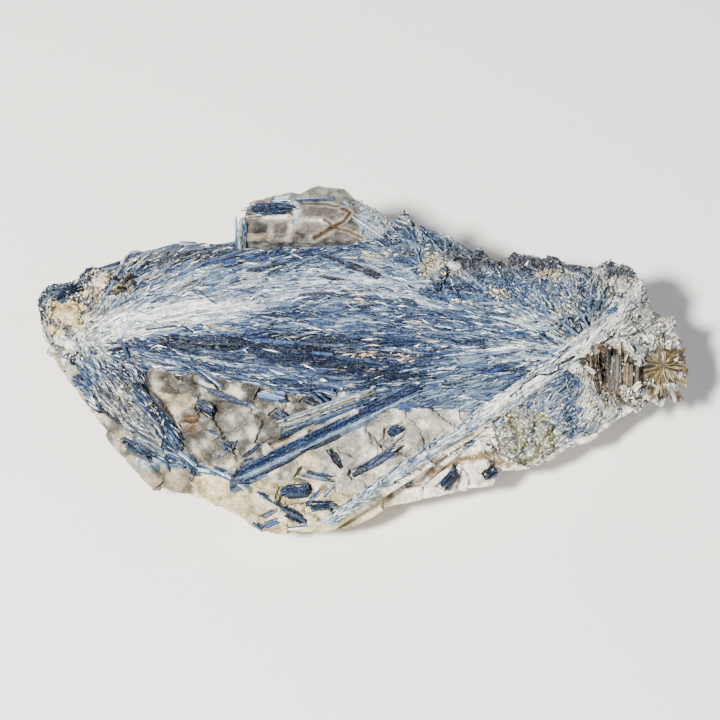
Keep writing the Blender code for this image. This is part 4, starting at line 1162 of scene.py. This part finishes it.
def mica_ground(place, normal):
    # Painted shade: in the hollow and the rosette's bed, the ground is brown mica darkened almost
    # to black; round them it is pale crust.
    shaded_hollow = mottled("#14110d", "#5a5044", place, 1.2)
    crust = mottled("#6f7478", "#d3d2ca", place, 1.2)
    return mixed(crust, shaded_hollow, 3 * in_any((HOLLOW, ROSETTE_BED), place.x / MM, place.y / MM))


def bed_height(x, y):
    """Height in mm of the rough bed of sheets between the ridge and the hollow's floor."""
    inner = 30.4 + 0.75 * (y + 3)
    crust = 33.8 + 0.15 * y
    share = min(1.0, max(0.0, (y + 3.7) / 1.2))
    return inner + (crust - inner) * share + max(0.0, 68 - x) - 0.8 * max(0.0, x - 75)


# Muscovite splits into pearly sheets, whose brown varies from flake to flake.
MICA, mica_shader = new_material("brown muscovite", Roughness=0.42, IOR=1.59, Coat_Weight=0.1,
                                 Coat_Roughness=0.25)
painted = node(MICA, "VertexColor", {"layer_name": "colour"}).outputs["Color"]
whereabouts = node(MICA, "TexCoord").outputs["Object"]
flakes = node(MICA, "TexNoise", Vector=whereabouts, Scale=1 / (0.6 * MM),
              Detail=4.0).outputs["Fac"]
flake_tone = node(MICA, "MapRange", Value=flakes, From_Min=0.3, From_Max=0.7, To_Min=0.6,
                  To_Max=1.4).outputs[0]
toned = node(MICA, "VectorMath", {"operation": "SCALE"}, _0=painted, _3=flake_tone).outputs[0]
link(MICA, toned, mica_shader, "Base Color")

mica = refined(cad_copy("mica_books"), lambda place: 1.4 * MM)
for v in mica.verts:
    x, y, z = (part / MM for part in v.co)
    if (BED[0] < x < BED[1] and BED[2] < y < BED[3] and z > BED[4]
            and v.normal.z > -0.05):
        v.co.z = (bed_height(x, y) + 0.9 * cloudy(v.co, 1.6, 3)) * MM
bmesh.ops.dissolve_degenerate(mica, edges=mica.edges, dist=0.03 * MM)
bmesh.ops.triangulate(mica, faces=mica.faces)
coloured(mica, mica_ground)
MICA_TREE = BVHTree.FromBMesh(mica)
piece("mica_ground", mica, MICA, "mica_brown", "mica_books")
RIGHT_END_TREE = heap_of("mica_ground", "kyanite_ground")


def near_rosette(x, y):
    """Whether a place is so near the rosette that nothing else lies there."""
    reach = LOWER_REACH if y < ROSETTE.y else UPPER_REACH
    return math.hypot(x - ROSETTE.x, y - ROSETTE.y) < reach


def anywhere_in(cx, cy, rx, ry, tilt):
    """A random x, y in a tilted ellipse."""
    reach, bearing = math.sqrt(rng.random()), rng.uniform(-math.pi, math.pi)
    turn = math.radians(tilt)
    u, v = rx * reach * math.cos(bearing), ry * reach * math.sin(bearing)
    return (cx + u * math.cos(turn) - v * math.sin(turn),
            cy + u * math.sin(turn) + v * math.cos(turn))


# First the rosette's sheets, then those that stand in the hollow, then flakes on the crust.
ROSETTE_SHEETS, HOLLOW_SHEETS, CRUST_FLAKES, FRINGE_FIBRES = 760, 620, 1500, 2600
plates = bmesh.new()
plate_store = plates.loops.layers.float_color.new("colour")
for _ in range(ROSETTE_SHEETS):
    bearing = rng.uniform(-math.pi, math.pi)
    low_side = math.sin(bearing) < 0.15
    way = Vector((math.cos(bearing), math.sin(bearing), 0))
    reach = rng.uniform(0.4, 8.0) if low_side else rng.uniform(0.5, 5.5)
    found = seated(MICA_TREE, (ROSETTE + way * reach) * MM, 5 * MM)
    if found is None or (bearing > 2.2 and reach > 4):
        continue
    way = square_to(found[1], turned(way, rng.gauss(0, 9)).to_3d()).normalized()
    stand = rng.uniform(0.15, 1.0)
    rise = (found[1] * math.sin(stand) + way.cross(found[1]) * math.cos(stand)
            * rng.choice((-1, 1))).normalized()
    rusty = not low_side and bearing < 1.9 and rng.random() < 0.4
    plate(found[0] - rise * 0.5 * MM, way, rise, between(1.2, 5.0), between(0.4, 1.3),
          one_of(RUST_COLOURS if rusty else ROSETTE_COLOURS))
for _ in range(HOLLOW_SHEETS):
    x, y = anywhere_in(*HOLLOW)
    found = seated(MICA_TREE, Vector((x, y, bed_height(x, y) + 1)) * MM, 6 * MM)
    if found is None:
        continue
    way = Vector((1.0, -0.5)) if x < 68 else Vector((0.1, -1.0))
    if x > 76:
        way = Vector((ROSETTE.x - x, ROSETTE.y - y))
    way = turned(way, rng.gauss(0, 28 if x < 76 else 14)).to_3d()
    way = square_to(found[1], way).normalized()
    rise = (way.cross(found[1]) + found[1] * rng.gauss(0.1, 0.5)).normalized()
    plate(found[0] + found[1] * 0.15 * MM - way * 1.2 * MM, way, rise,
          between(1.2, 4.5), between(0.4, 1.4), one_of(MICA_COLOURS))
for _ in range(CRUST_FLAKES):
    x, y = rng.uniform(56, 92), rng.uniform(-16, 12)
    found = seated(MICA_TREE, Vector((x, y, 30)) * MM, 12 * MM)
    if found is None or in_ellipse(x, y, *HOLLOW) > 0.12 or near_rosette(x, y):
        continue
    way = found[1].orthogonal().normalized()
    way = Matrix.Rotation(rng.uniform(0, 6.3), 3, found[1]) @ way
    rise = (way.cross(found[1]) + found[1] * rng.gauss(0, 0.35)).normalized()
    plate(found[0] + found[1] * 0.1 * MM - way * 0.8 * MM, way, rise,
          between(0.6, 2.8), between(0.4, 1.3), one_of(FLAKE_COLOURS))
piece("mica_plates", plates, MICA, "mica_brown")

# Frayed pale kyanite and mica fibres lie over the crust round the hollow.
fringe = Blades()
for _ in range(FRINGE_FIBRES):
    x, y = rng.uniform(54, 92), rng.uniform(-24, 22)
    top = dropped(RIGHT_END_TREE, x, y)[0]
    if top is None or in_ellipse(x, y, *HOLLOW) > 0.1 or near_rosette(x, y) or from_run(
            RIDGE_RUN, x, y) < 2.5 or from_run(CRACK_SHADE_RUN, x, y) < 1.3:
        continue
    way = turned(Vector((x, y)) - RIGHT_FOCUS, rng.gauss(0, 35)).to_3d()
    grow_blade(fringe, RIGHT_END_TREE, top, way, between(1.0, 4.0), between(0.14, 0.5),
               0.4 * MM, one_of(FLAKE_COLOURS), between(0.2, 0.8))
# The largest books lie in the hollow as silky sheets, and white ones along its lower edge:
# ends x, y in mm, width and clearance in mm, colours.
BOOKS = (
    (71.0, -3.4, 71.4, -10.4, 3.6, 0.6, ["#5d5850", "#77726a", "#4f4b44", "#6b665e", "#575249"]),
    (75.0, -3.8, 74.9, -11.2, 2.6, 0.6, ["#6b5c44", "#4c4132", "#7d6c50", "#5f5240"]),
    (77.6, -4.2, 77.0, -10.4, 1.3, 0.6, ["#2c2721", "#4f4940", "#1e1a15"]),
    (68.6, -3.6, 69.4, -8.4, 1.4, 0.6, ["#221e19", "#3f3932", "#191612"]),
    (69.4, -13.4, 76.0, -13.4, 2.4, 1.5, ["#d9d6ce", "#ecebe6", "#c4c2bb"]),
    (76.1, -11.6, 78.6, -9.0, 1.5, 1.5, ["#e6e4dc", "#f2f0ea"]),
    (74.0, 0.0, 76.8, -2.6, 1.3, 1.5, ["#e2e1da", "#c4c5c2"]),
    (77.2, -0.2, 81.0, 0.4, 2.2, 0.6, ["#8f9499", "#a9adb0", "#7b8086"]),
    (62.2, -7.4, 65.6, -8.6, 1.3, 1.5, ["#e9e8e1", "#cfd2d0"]),
)
book_heap = heap_of("mica_ground", "kyanite_ground", "mica_plates")
for ax, ay, bx, by, width, clearance, colours in BOOKS:
    ends = laid_over(book_heap, ax, ay, bx, by, 0.8, clearance)
    if ends is None:
        continue
    up = square_to((ends[1] - ends[0]).normalized(), Vector((0, -0.5, 0.87))).normalized()
    bundle(fringe, *ends, up, width * MM, 0.5 * MM, colours, 1.0, 0.3)
    frost_over(fringe, *ends, up, width * MM, 0.5 * MM, round(4 * width), colours, 1.6)
piece("pale_fringe", fringe.bm, KYANITE, "mica_brown")

# ------------------------------------------------------------------ the druse
# A crust of small quartz crystals in a shallow hollow, yellow-green to grey, 0.3 to 1.1 mm
# across, each a six-sided prism with a point.
YELLOW_POINTS = ["#a39b5e", "#7d7638", "#b3a04e", "#d3c98a", "#5c5729", "#e2dcc0", "#35331f"]
GREY_POINTS = ["#b9bab4", "#8e9798", "#d6d4c6", "#a5acaf", "#586166", "#7c8792", "#e6e6de",
               "#7b8078", "#56616d", "#c9ccc6"]
# Where the yellow-green crystals are, in clumps: x, y in mm.
YELLOW_CLUMPS = ((35.8, -22.3), (42.2, -23.7), (44.0, -25.2), (48.5, -19.8), (51.5, -19.2),
                 (53.0, -23.4), (50.5, -26.0))
EDGE_SPLINTERS = ["#5d7ea6", "#2f4f80", "#8aa6c2", "#dfe7ea", "#c9d2d4", "#24406e", "#f0f1ec",
                  "#a9b4b8", "#3f5f8c"]
OLIVE_CRUMBS = ["#3f3f26", "#5f5c38", "#2b2b1e", "#8a855c", "#b9b596", "#4f5040", "#77776a"]
# The hollow's outline: x, y, radii in mm.
DRUSE_OVAL = (47.6, -23.2, 11.5, 5.6)
DRUSE_SEATS, EDGE_PIECES = 2500, 520


def crystal(root, axis, width, height, colour):
    """A six-sided crystal from its root along an axis, with a lopsided point."""
    first = axis.orthogonal().normalized()
    spin = rng.uniform(0, 1)
    ring = [Matrix.Rotation(math.radians(60 * k) + spin, 3, axis) @ first for k in range(6)]
    verts, faces = points.verts, points.faces
    low = [verts.new(root + way * width / 2) for way in ring]
    high = [verts.new(root + way * width / 2 * 0.92 + axis * height * rng.uniform(0.5, 0.7))
            for way in ring]
    tip = verts.new(root + axis * height + ring[0] * width * 0.12)
    made = [faces.new(low[::-1])]
    for k in range(6):
        j = (k + 1) % 6
        made.append(faces.new((low[k], low[j], high[j], high[k])))
        made.append(faces.new((high[k], high[j], tip)))
    painted_faces(made, point_store, colour)


druse = refined(cad_copy("quartz_druse"), lambda place: 1.0 * MM)
samples = list(surface_samples(druse, DRUSE_SEATS))
coloured(druse, lambda place, normal: mottled("#35362f", "#a3a496", place, 1.0))
piece("druse_crust", druse, CLEAR_QUARTZ, "quartz_druse", "quartz_druse")
points = bmesh.new()
point_store = points.loops.layers.float_color.new("colour")
for place, normal in samples:
    if SPECIMEN_TREE.find_nearest(place, 0.6 * MM)[0] is not None or normal.z < -0.1:
        continue
    axis = (normal + Vector((rng.gauss(0, 0.35), rng.gauss(0, 0.35), 0.4))).normalized()
    width = between(0.35, 1.1)
    gap = min(math.hypot(place.x / MM - x, place.y / MM - y) for x, y in YELLOW_CLUMPS)
    yellow = gap < 2.0 + 2.5 * wavy(place, 1.6)
    width *= 0.8 if yellow else 1.0
    crystal(place - axis * 0.5 * MM, axis, width, width * rng.uniform(0.9, 1.5),
            one_of(YELLOW_POINTS if yellow else GREY_POINTS))
piece("druse_crystals", points, CLEAR_QUARTZ, "quartz_druse")

# Splinters of kyanite and quartz lie over its edge, and dark olive crumbs along its foot.
druse_heap = heap_of("druse_crust", "quartz_rock", "kyanite_ground")
strewn = Blades()
for _ in range(EDGE_PIECES):
    bearing, reach = rng.uniform(-math.pi, math.pi), rng.uniform(0.72, 1.25)
    middle, up = dropped(druse_heap, DRUSE_OVAL[0] + DRUSE_OVAL[2] * reach * math.cos(bearing),
                         DRUSE_OVAL[1] + DRUSE_OVAL[3] * reach * math.sin(bearing))
    if middle is None or (math.sin(bearing) < -0.25 and reach > 1.02):
        continue
    colours = OLIVE_CRUMBS if math.sin(bearing) < -0.2 else EDGE_SPLINTERS
    way = turned(Vector((1, 0.45)), rng.gauss(0, 40)).to_3d() * between(0.5, 1.7)
    way = square_to(up, way)
    middle += up * between(0.2, 0.6)
    strewn.add([middle - way, middle, middle + way], [up] * 3, between(0.2, 0.55), 0.6 * MM,
               one_of(colours), rng.gauss(0, 0.4), 1.0, rng.uniform(-0.3, 0.3), pointed=True)
piece("druse_edge_splinters", strewn.bm, KYANITE, "kyanite_blue")

# ------------------------------------------------------------------ feldspar and single crystals
# Knobbly cream to yellow feldspar grains at the left end and in patches of the spray, a
# red-brown garnet in a small cavity, and one white quartz crystal at the back.
CREAM_GRAINS = ["#efe9d8", "#e2dbc6", "#f5f2e8", "#cfc8b4", "#dcc88f", "#b5ae9c", "#8f8a7c"]
YELLOW_GRAINS = ["#d8c884", "#b8a058", "#e6deb4", "#8f794a", "#eee9d0", "#6b5a34"]
PALE_GRAINS = ["#dcddd6", "#bfc3c1", "#a1a7a8", "#80878c", "#e9e9e1", "#c4b9a6", "#55595a",
               "#908b7d"]
BROWN_GRAINS = ["#221c15", "#453b2f", "#14100b", "#6a6152", "#8b8475"]
BLUE_GRAINS = ["#8fa6bd", "#5d7a9d", "#dfe7ea", "#34507e", "#b9c9d6"]
HONEY_GRAINS = ["#c9b25c", "#e0d39a", "#8f7c3a", "#efe9cf"]
# The dark lump between the blades at the left: x, y, radii in mm.
DARK_LUMP = (-67.5, 21.8, 4.2, 3.1)
# Where the grains are: x, y, radii in mm, tilt, how many, smallest and largest in mm, colours.
GRAIN_PATCHES = (
    (-84.5, 13.5, 7, 7, 0, 200, 0.25, 0.9, YELLOW_GRAINS),
    (-84, 12, 9, 12, 0, 500, 0.25, 1.1, CREAM_GRAINS),
    (-84, 12, 9, 12, 0, 160, 0.3, 0.9, BROWN_GRAINS + PALE_GRAINS[-2:]),
    (*DARK_LUMP, 0, 300, 0.5, 1.5, BROWN_GRAINS),
    (50, -30, 12, 4, 20, 500, 0.3, 1.1, PALE_GRAINS),
    (38, -35, 16, 3.0, 12, 300, 0.3, 1.0, PALE_GRAINS),
    (-73, 23, 9, 5.0, 8, 500, 0.3, 1.2, CREAM_GRAINS),
    (-70, 9, 9, 9, 0, 700, 0.2, 0.6, CREAM_GRAINS[:3] + PALE_GRAINS[:3]),
    (-60, 22, 7, 2.2, 20, 130, 0.3, 0.8, YELLOW_GRAINS),
    (34, 5.8, 2.8, 1.9, 0, 70, 0.3, 0.7, CREAM_GRAINS),
    (20.5, 23.5, 3.4, 5.5, 0, 200, 0.3, 1.0, CREAM_GRAINS),
    (20.5, 24.0, 2.8, 3.6, 0, 150, 0.3, 0.9, ["#d8cc86", "#b9a659", "#e6e0b4", "#8b7b44"]),
    (39, 15.8, 4.0, 2.0, -20, 120, 0.3, 1.0, CREAM_GRAINS),
    (36, 18, 1.2, 1.0, 0, 24, 0.3, 0.8, BROWN_GRAINS),
    (55, 21.8, 5.0, 2.6, 0, 160, 0.3, 0.9, CREAM_GRAINS[:5] + YELLOW_GRAINS[:3]),
    (6, 27.5, 8.0, 1.7, 4, 150, 0.3, 0.9, YELLOW_GRAINS),
    (80, 13.0, 11.0, 12.0, 0, 1200, 0.3, 1.2, PALE_GRAINS),
    (70, -12, 11.0, 5.0, 22, 600, 0.25, 0.9, PALE_GRAINS),
    (76, 22, 9.0, 7.0, 0, 300, 0.3, 1.0, PALE_GRAINS),
    (-36.3, 4.9, 8.0, 0.9, -6, 170, 0.2, 0.6, CREAM_GRAINS[:5] + YELLOW_GRAINS[:3]),
    (-34.8, 23.1, 5.0, 0.9, 19, 110, 0.2, 0.6, YELLOW_GRAINS + CREAM_GRAINS[:3]),
    (-69.0, 17.6, 6.0, 1.6, 0, 120, 0.2, 0.7, CREAM_GRAINS[:5]),
    (-16, 4.5, 8.0, 1.0, -3, 90, 0.2, 0.6, CREAM_GRAINS),
    (0.5, -4.4, 7.0, 1.2, -10, 140, 0.2, 0.7, CREAM_GRAINS),
    (12.5, -5.0, 5.0, 2.0, 8, 120, 0.2, 0.8, CREAM_GRAINS),
    (-60, -17, 5, 9, 40, 200, 0.2, 0.9, CREAM_GRAINS),
    (71.9, -1.1, 2.7, 1.3, -12, 110, 0.25, 0.8, ["#8a5a26", "#5c3a18", "#a87c42", "#36230f"]),
    (68.2, 1.4, 2.6, 1.6, 0, 60, 0.25, 0.8, ["#5c4426", "#8a714a", "#33271a", "#b3a27e"]),
    (84.8, 3.6, 2.0, 1.2, 0, 40, 0.25, 0.7, RUST_COLOURS),
    (88.2, 2.6, 2.2, 1.6, 0, 50, 0.25, 0.7, RUST_COLOURS),
    (36.0, -23.2, 1.6, 1.6, 0, 60, 0.2, 0.7, YELLOW_GRAINS[:3] + CREAM_GRAINS[:3]),
    (50.5, -19.0, 3.6, 1.6, 0, 90, 0.2, 0.7, HONEY_GRAINS),
    (42.0, -23.0, 3.4, 1.4, 0, 90, 0.2, 0.7, HONEY_GRAINS),
    (5, 38.0, 7.0, 5.0, -15, 420, 0.2, 0.8, BLUE_GRAINS + PALE_GRAINS[:3]),
    (12, 33.0, 8.0, 5.0, -15, 420, 0.2, 0.7, PALE_GRAINS + BLUE_GRAINS[:2]),
    (50, 22, 36, 11, -5, 700, 0.2, 0.6, PALE_GRAINS),
    (44, -22, 16, 7, 20, 330, 0.25, 1.0, ["#c9c48f", "#a9a765", "#e4e2cf", "#7e8073"]),
    (56, -20, 10, 5, 25, 300, 0.2, 0.8, PALE_GRAINS),
)
CRUST_TREE = heap_of("kyanite_ground", "quartz_rock", "mica_ground", "smoky_quartz_block")
CORNERS = [Vector(p) for p in (
    (1, 0, 0), (0, 1, 0), (-1, 0, 0), (0, -1, 0), (0, 0, 1), (0, 0, -1))]


def grain(place, size, colour):
    """A small angular grain: eight flat faces of uneven size."""
    spin = Matrix.Rotation(rng.uniform(0, 6.3), 3, "X") @ Matrix.Rotation(
        rng.uniform(0, 6.3), 3, "Z")
    corners = [grains.verts.new(place + spin @ corner * size * rng.uniform(0.3, 0.62))
               for corner in CORNERS]
    for k in range(4):
        j = (k + 1) % 4
        painted_faces((grains.faces.new((corners[k], corners[j], corners[4])),
                       grains.faces.new((corners[j], corners[k], corners[5]))),
                      grain_store, colour)


# The larger knobs: x, y, radius in mm. Those at the left end are cream with amber striae,
# those at the right end grey.
KNOBS = (
    (-83.1, 15.6, 4.3), (-84.6, 8.8, 3.2), (-79.4, 11.2, 2.7), (-87.4, 12.4, 2.2),
    (-78.4, 17.6, 2.2), (-81.0, 5.2, 2.5), (-76.4, 13.2, 2.0), (-73.6, 24.2, 3.0),
    (-77.4, 21.6, 1.8), (-70.6, 26.2, 2.2), (-86.6, 18.4, 2.0), (-78.6, 7.4, 1.9),
    (-87.6, 7.4, 1.8), (-83.8, 4.0, 1.7), (-76.6, 3.8, 1.6), (-73.0, 18.4, 1.7),
    (70.4, 19.4, 2.3), (74.4, 17.6, 2.6), (77.6, 15.0, 2.0), (73.0, 13.4, 1.8),
    (78.2, 21.0, 2.4), (84.6, 14.2, 2.4), (81.0, 10.6, 2.0), (88.0, 10.2, 2.0),
    (86.0, 6.6, 1.7), (68.0, 23.0, 2.0), (82.4, 17.4, 2.0),
)


def knob_colour(place, normal):
    drawn = place.x + 2.2 * place.y
    striae = noise.noise(Vector((drawn / (1.1 * MM), place.y / (3.0 * MM), place.z / MM)))
    stain = noise.fractal(place / (3.2 * MM) + Vector((3, 1, 7)), 1.0, 2.0, 3)
    if place.x > 0:
        one = mixed("#8d8e86", "#d3d2c8", 0.45 + striae + 0.5 * stain)
        # Painted shade: the knob is darker the further its surface turns from straight up.
        return mixed(one, "#4b4d49", 0.9 * (0.35 - normal.z))
    x, y = place.x / MM, place.y / MM
    dirt = cloudy(place, 0.8, 3)
    one = mixed("#e2d6ac", "#938557", 0.35 + 1.5 * striae)
    if y > 20:
        one = mixed("#e6ddd4", "#a79c94", 0.4 + striae + dirt)
    elif y < 9.5:
        one = mixed("#dfe3df", "#8c9ba6", 0.4 + 1.5 * striae + dirt)
    else:
        one = mixed(one, "#8a6a28", 2.8 * max(0.0, stain + 0.8 * striae))
        one = mixed(one, "#4a3418", 4.0 * max(0.0, stain - 0.28))
    one = mixed(one, "#4d483c", 0.9 * max(0.0, dirt - 0.1))
    # Painted shade: the knob is darker the further its surface turns from straight up.
    return mixed(one, "#26221a", 1.7 * (0.62 - normal.z))


knobs = bmesh.new()
for x, y, radius in KNOBS:
    seat, up = dropped(CRUST_TREE, x, y)
    if seat is None:
        continue
    made = bmesh.ops.create_icosphere(knobs, subdivisions=4 if radius > 2.6 else 3,
                                      radius=radius * MM)["verts"]
    for v in made:
        way = v.co.normalized()
        rough = sum(height * noise.noise(way * fine + Vector((x, y, shift)))
                    for height, fine, shift in ((0.26, 1.3, 0), (0.12, 3.5, 5), (0.08, 8, 9)))
        v.co = v.co * (0.92 + rough)
        v.co -= up * v.co.dot(up) * 0.3
        v.co += seat - up * radius * 0.3 * MM
coloured(knobs, knob_colour)
piece("feldspar_knobs", knobs, ROCK_QUARTZ, "quartz_cream")

grains = bmesh.new()
grain_store = grains.loops.layers.float_color.new("colour")
for cx, cy, rx, ry, tilt, count, small, large, colours in GRAIN_PATCHES:
    for _ in range(count):
        x, y = anywhere_in(cx, cy, rx, ry, tilt)
        found = seated(CRUST_TREE, Vector((x, y, rng.uniform(22, 38))) * MM, 14 * MM)
        if rng.random() < 0.6:
            found = dropped(CRUST_TREE, x, y)
        if found is None or found[0] is None or (
                colours is not BROWN_GRAINS and in_ellipse(x, y, *DARK_LUMP) > 0):
            continue
        size = (small + (large - small) * rng.random() ** 2.5) * MM
        grain(found[0] + found[1] * rng.uniform(0.2, 1.0) * size, size, one_of(colours))
piece("feldspar_grains", grains, ROCK_QUARTZ, "quartz_cream")

# Garnet that has weathered, so that only a dull gleam is left of its glassy shine.
GARNET, garnet_shader = new_material("weathered garnet", Roughness=0.35, IOR=1.75)
painted = node(GARNET, "VertexColor", {"layer_name": "colour"}).outputs["Color"]
link(GARNET, painted, garnet_shader, "Base Color")
for name, one, two, slot, material in (
        ("brown_crystal", "#14110d", "#756b5c", "garnet_brown", GARNET),
        ("white_crystal", "#dfe3e2", "#f6f6f2", "quartz_cream", CLEAR_QUARTZ)):
    body = refined(cad_copy(name), lambda place: 0.6 * MM)
    for v in body.verts:
        v.co += v.normal * 0.3 * MM * wavy(v.co, 1.4)
    coloured(body, lambda place, normal: mottled(one, two, place, 1.3))
    piece(name + "_broken", body, material, slot, name)

# ------------------------------------------------------------------ floor, light and camera
# A pale studio table under a large soft light in front on the left, with the camera above.
CAMERA_HEIGHT_ANGLE = 60.0
CAMERA_DISTANCE = 0.56
LOOK_AT = Vector((0.617, -2.393, 30.0)) * MM
FRAME_WIDTH = 200.6 * MM  # width of the view at the point looked at


def area_light(name, place, size, watts, colour):
    lamp = bpy.data.lights.new(name, "AREA")
    lamp.shape = "DISK"
    lamp.size = size
    lamp.energy = watts
    lamp.color = shade(colour)[:3]
    made = bpy.data.objects.new(name, lamp)
    made.location = place
    made.rotation_euler = (LOOK_AT - Vector(place)).to_track_quat("-Z", "Y").to_euler()
    bpy.context.scene.collection.objects.link(made)


floor_mesh = bpy.data.meshes.new("floor")
floor_mesh.from_pydata([(-3, -3, 0), (3, -3, 0), (3, 3, 0), (-3, 3, 0)], [], [(0, 1, 2, 3)])
floor = bpy.data.objects.new("floor", floor_mesh)
bpy.context.scene.collection.objects.link(floor)
paper, paper_shader = new_material("pale paper", Base_Color=shade("#e9e9e7"), Roughness=0.9)
floor_mesh.materials.append(paper)

area_light("key_light", (-0.40, -0.40, 0.85), 0.14, 38.0, "#fffaf0")
area_light("fill_light", (0.7, -0.3, 0.7), 0.8, 4.0, "#f8f8ff")
area_light("back_light", (0.1, 0.8, 0.6), 0.6, 1.5, "#ffffff")
world = bpy.data.worlds.new("studio")
world.use_nodes = True
world.node_tree.nodes["Background"].inputs["Color"].default_value = (0.97, 0.98, 1.0, 1.0)
world.node_tree.nodes["Background"].inputs["Strength"].default_value = 0.13
bpy.context.scene.world = world

lens = bpy.data.cameras.new("camera")
lens.sensor_width = 36.0
lens.angle = 2 * math.atan(FRAME_WIDTH / 2 / CAMERA_DISTANCE)
lens.clip_start = 0.01
camera = bpy.data.objects.new("camera", lens)
rise = math.radians(CAMERA_HEIGHT_ANGLE)
camera.location = LOOK_AT + CAMERA_DISTANCE * Vector((0, -math.cos(rise), math.sin(rise)))
camera.rotation_euler = (math.pi / 2 - rise, 0, 0)
bpy.context.scene.collection.objects.link(camera)
bpy.context.scene.camera = camera
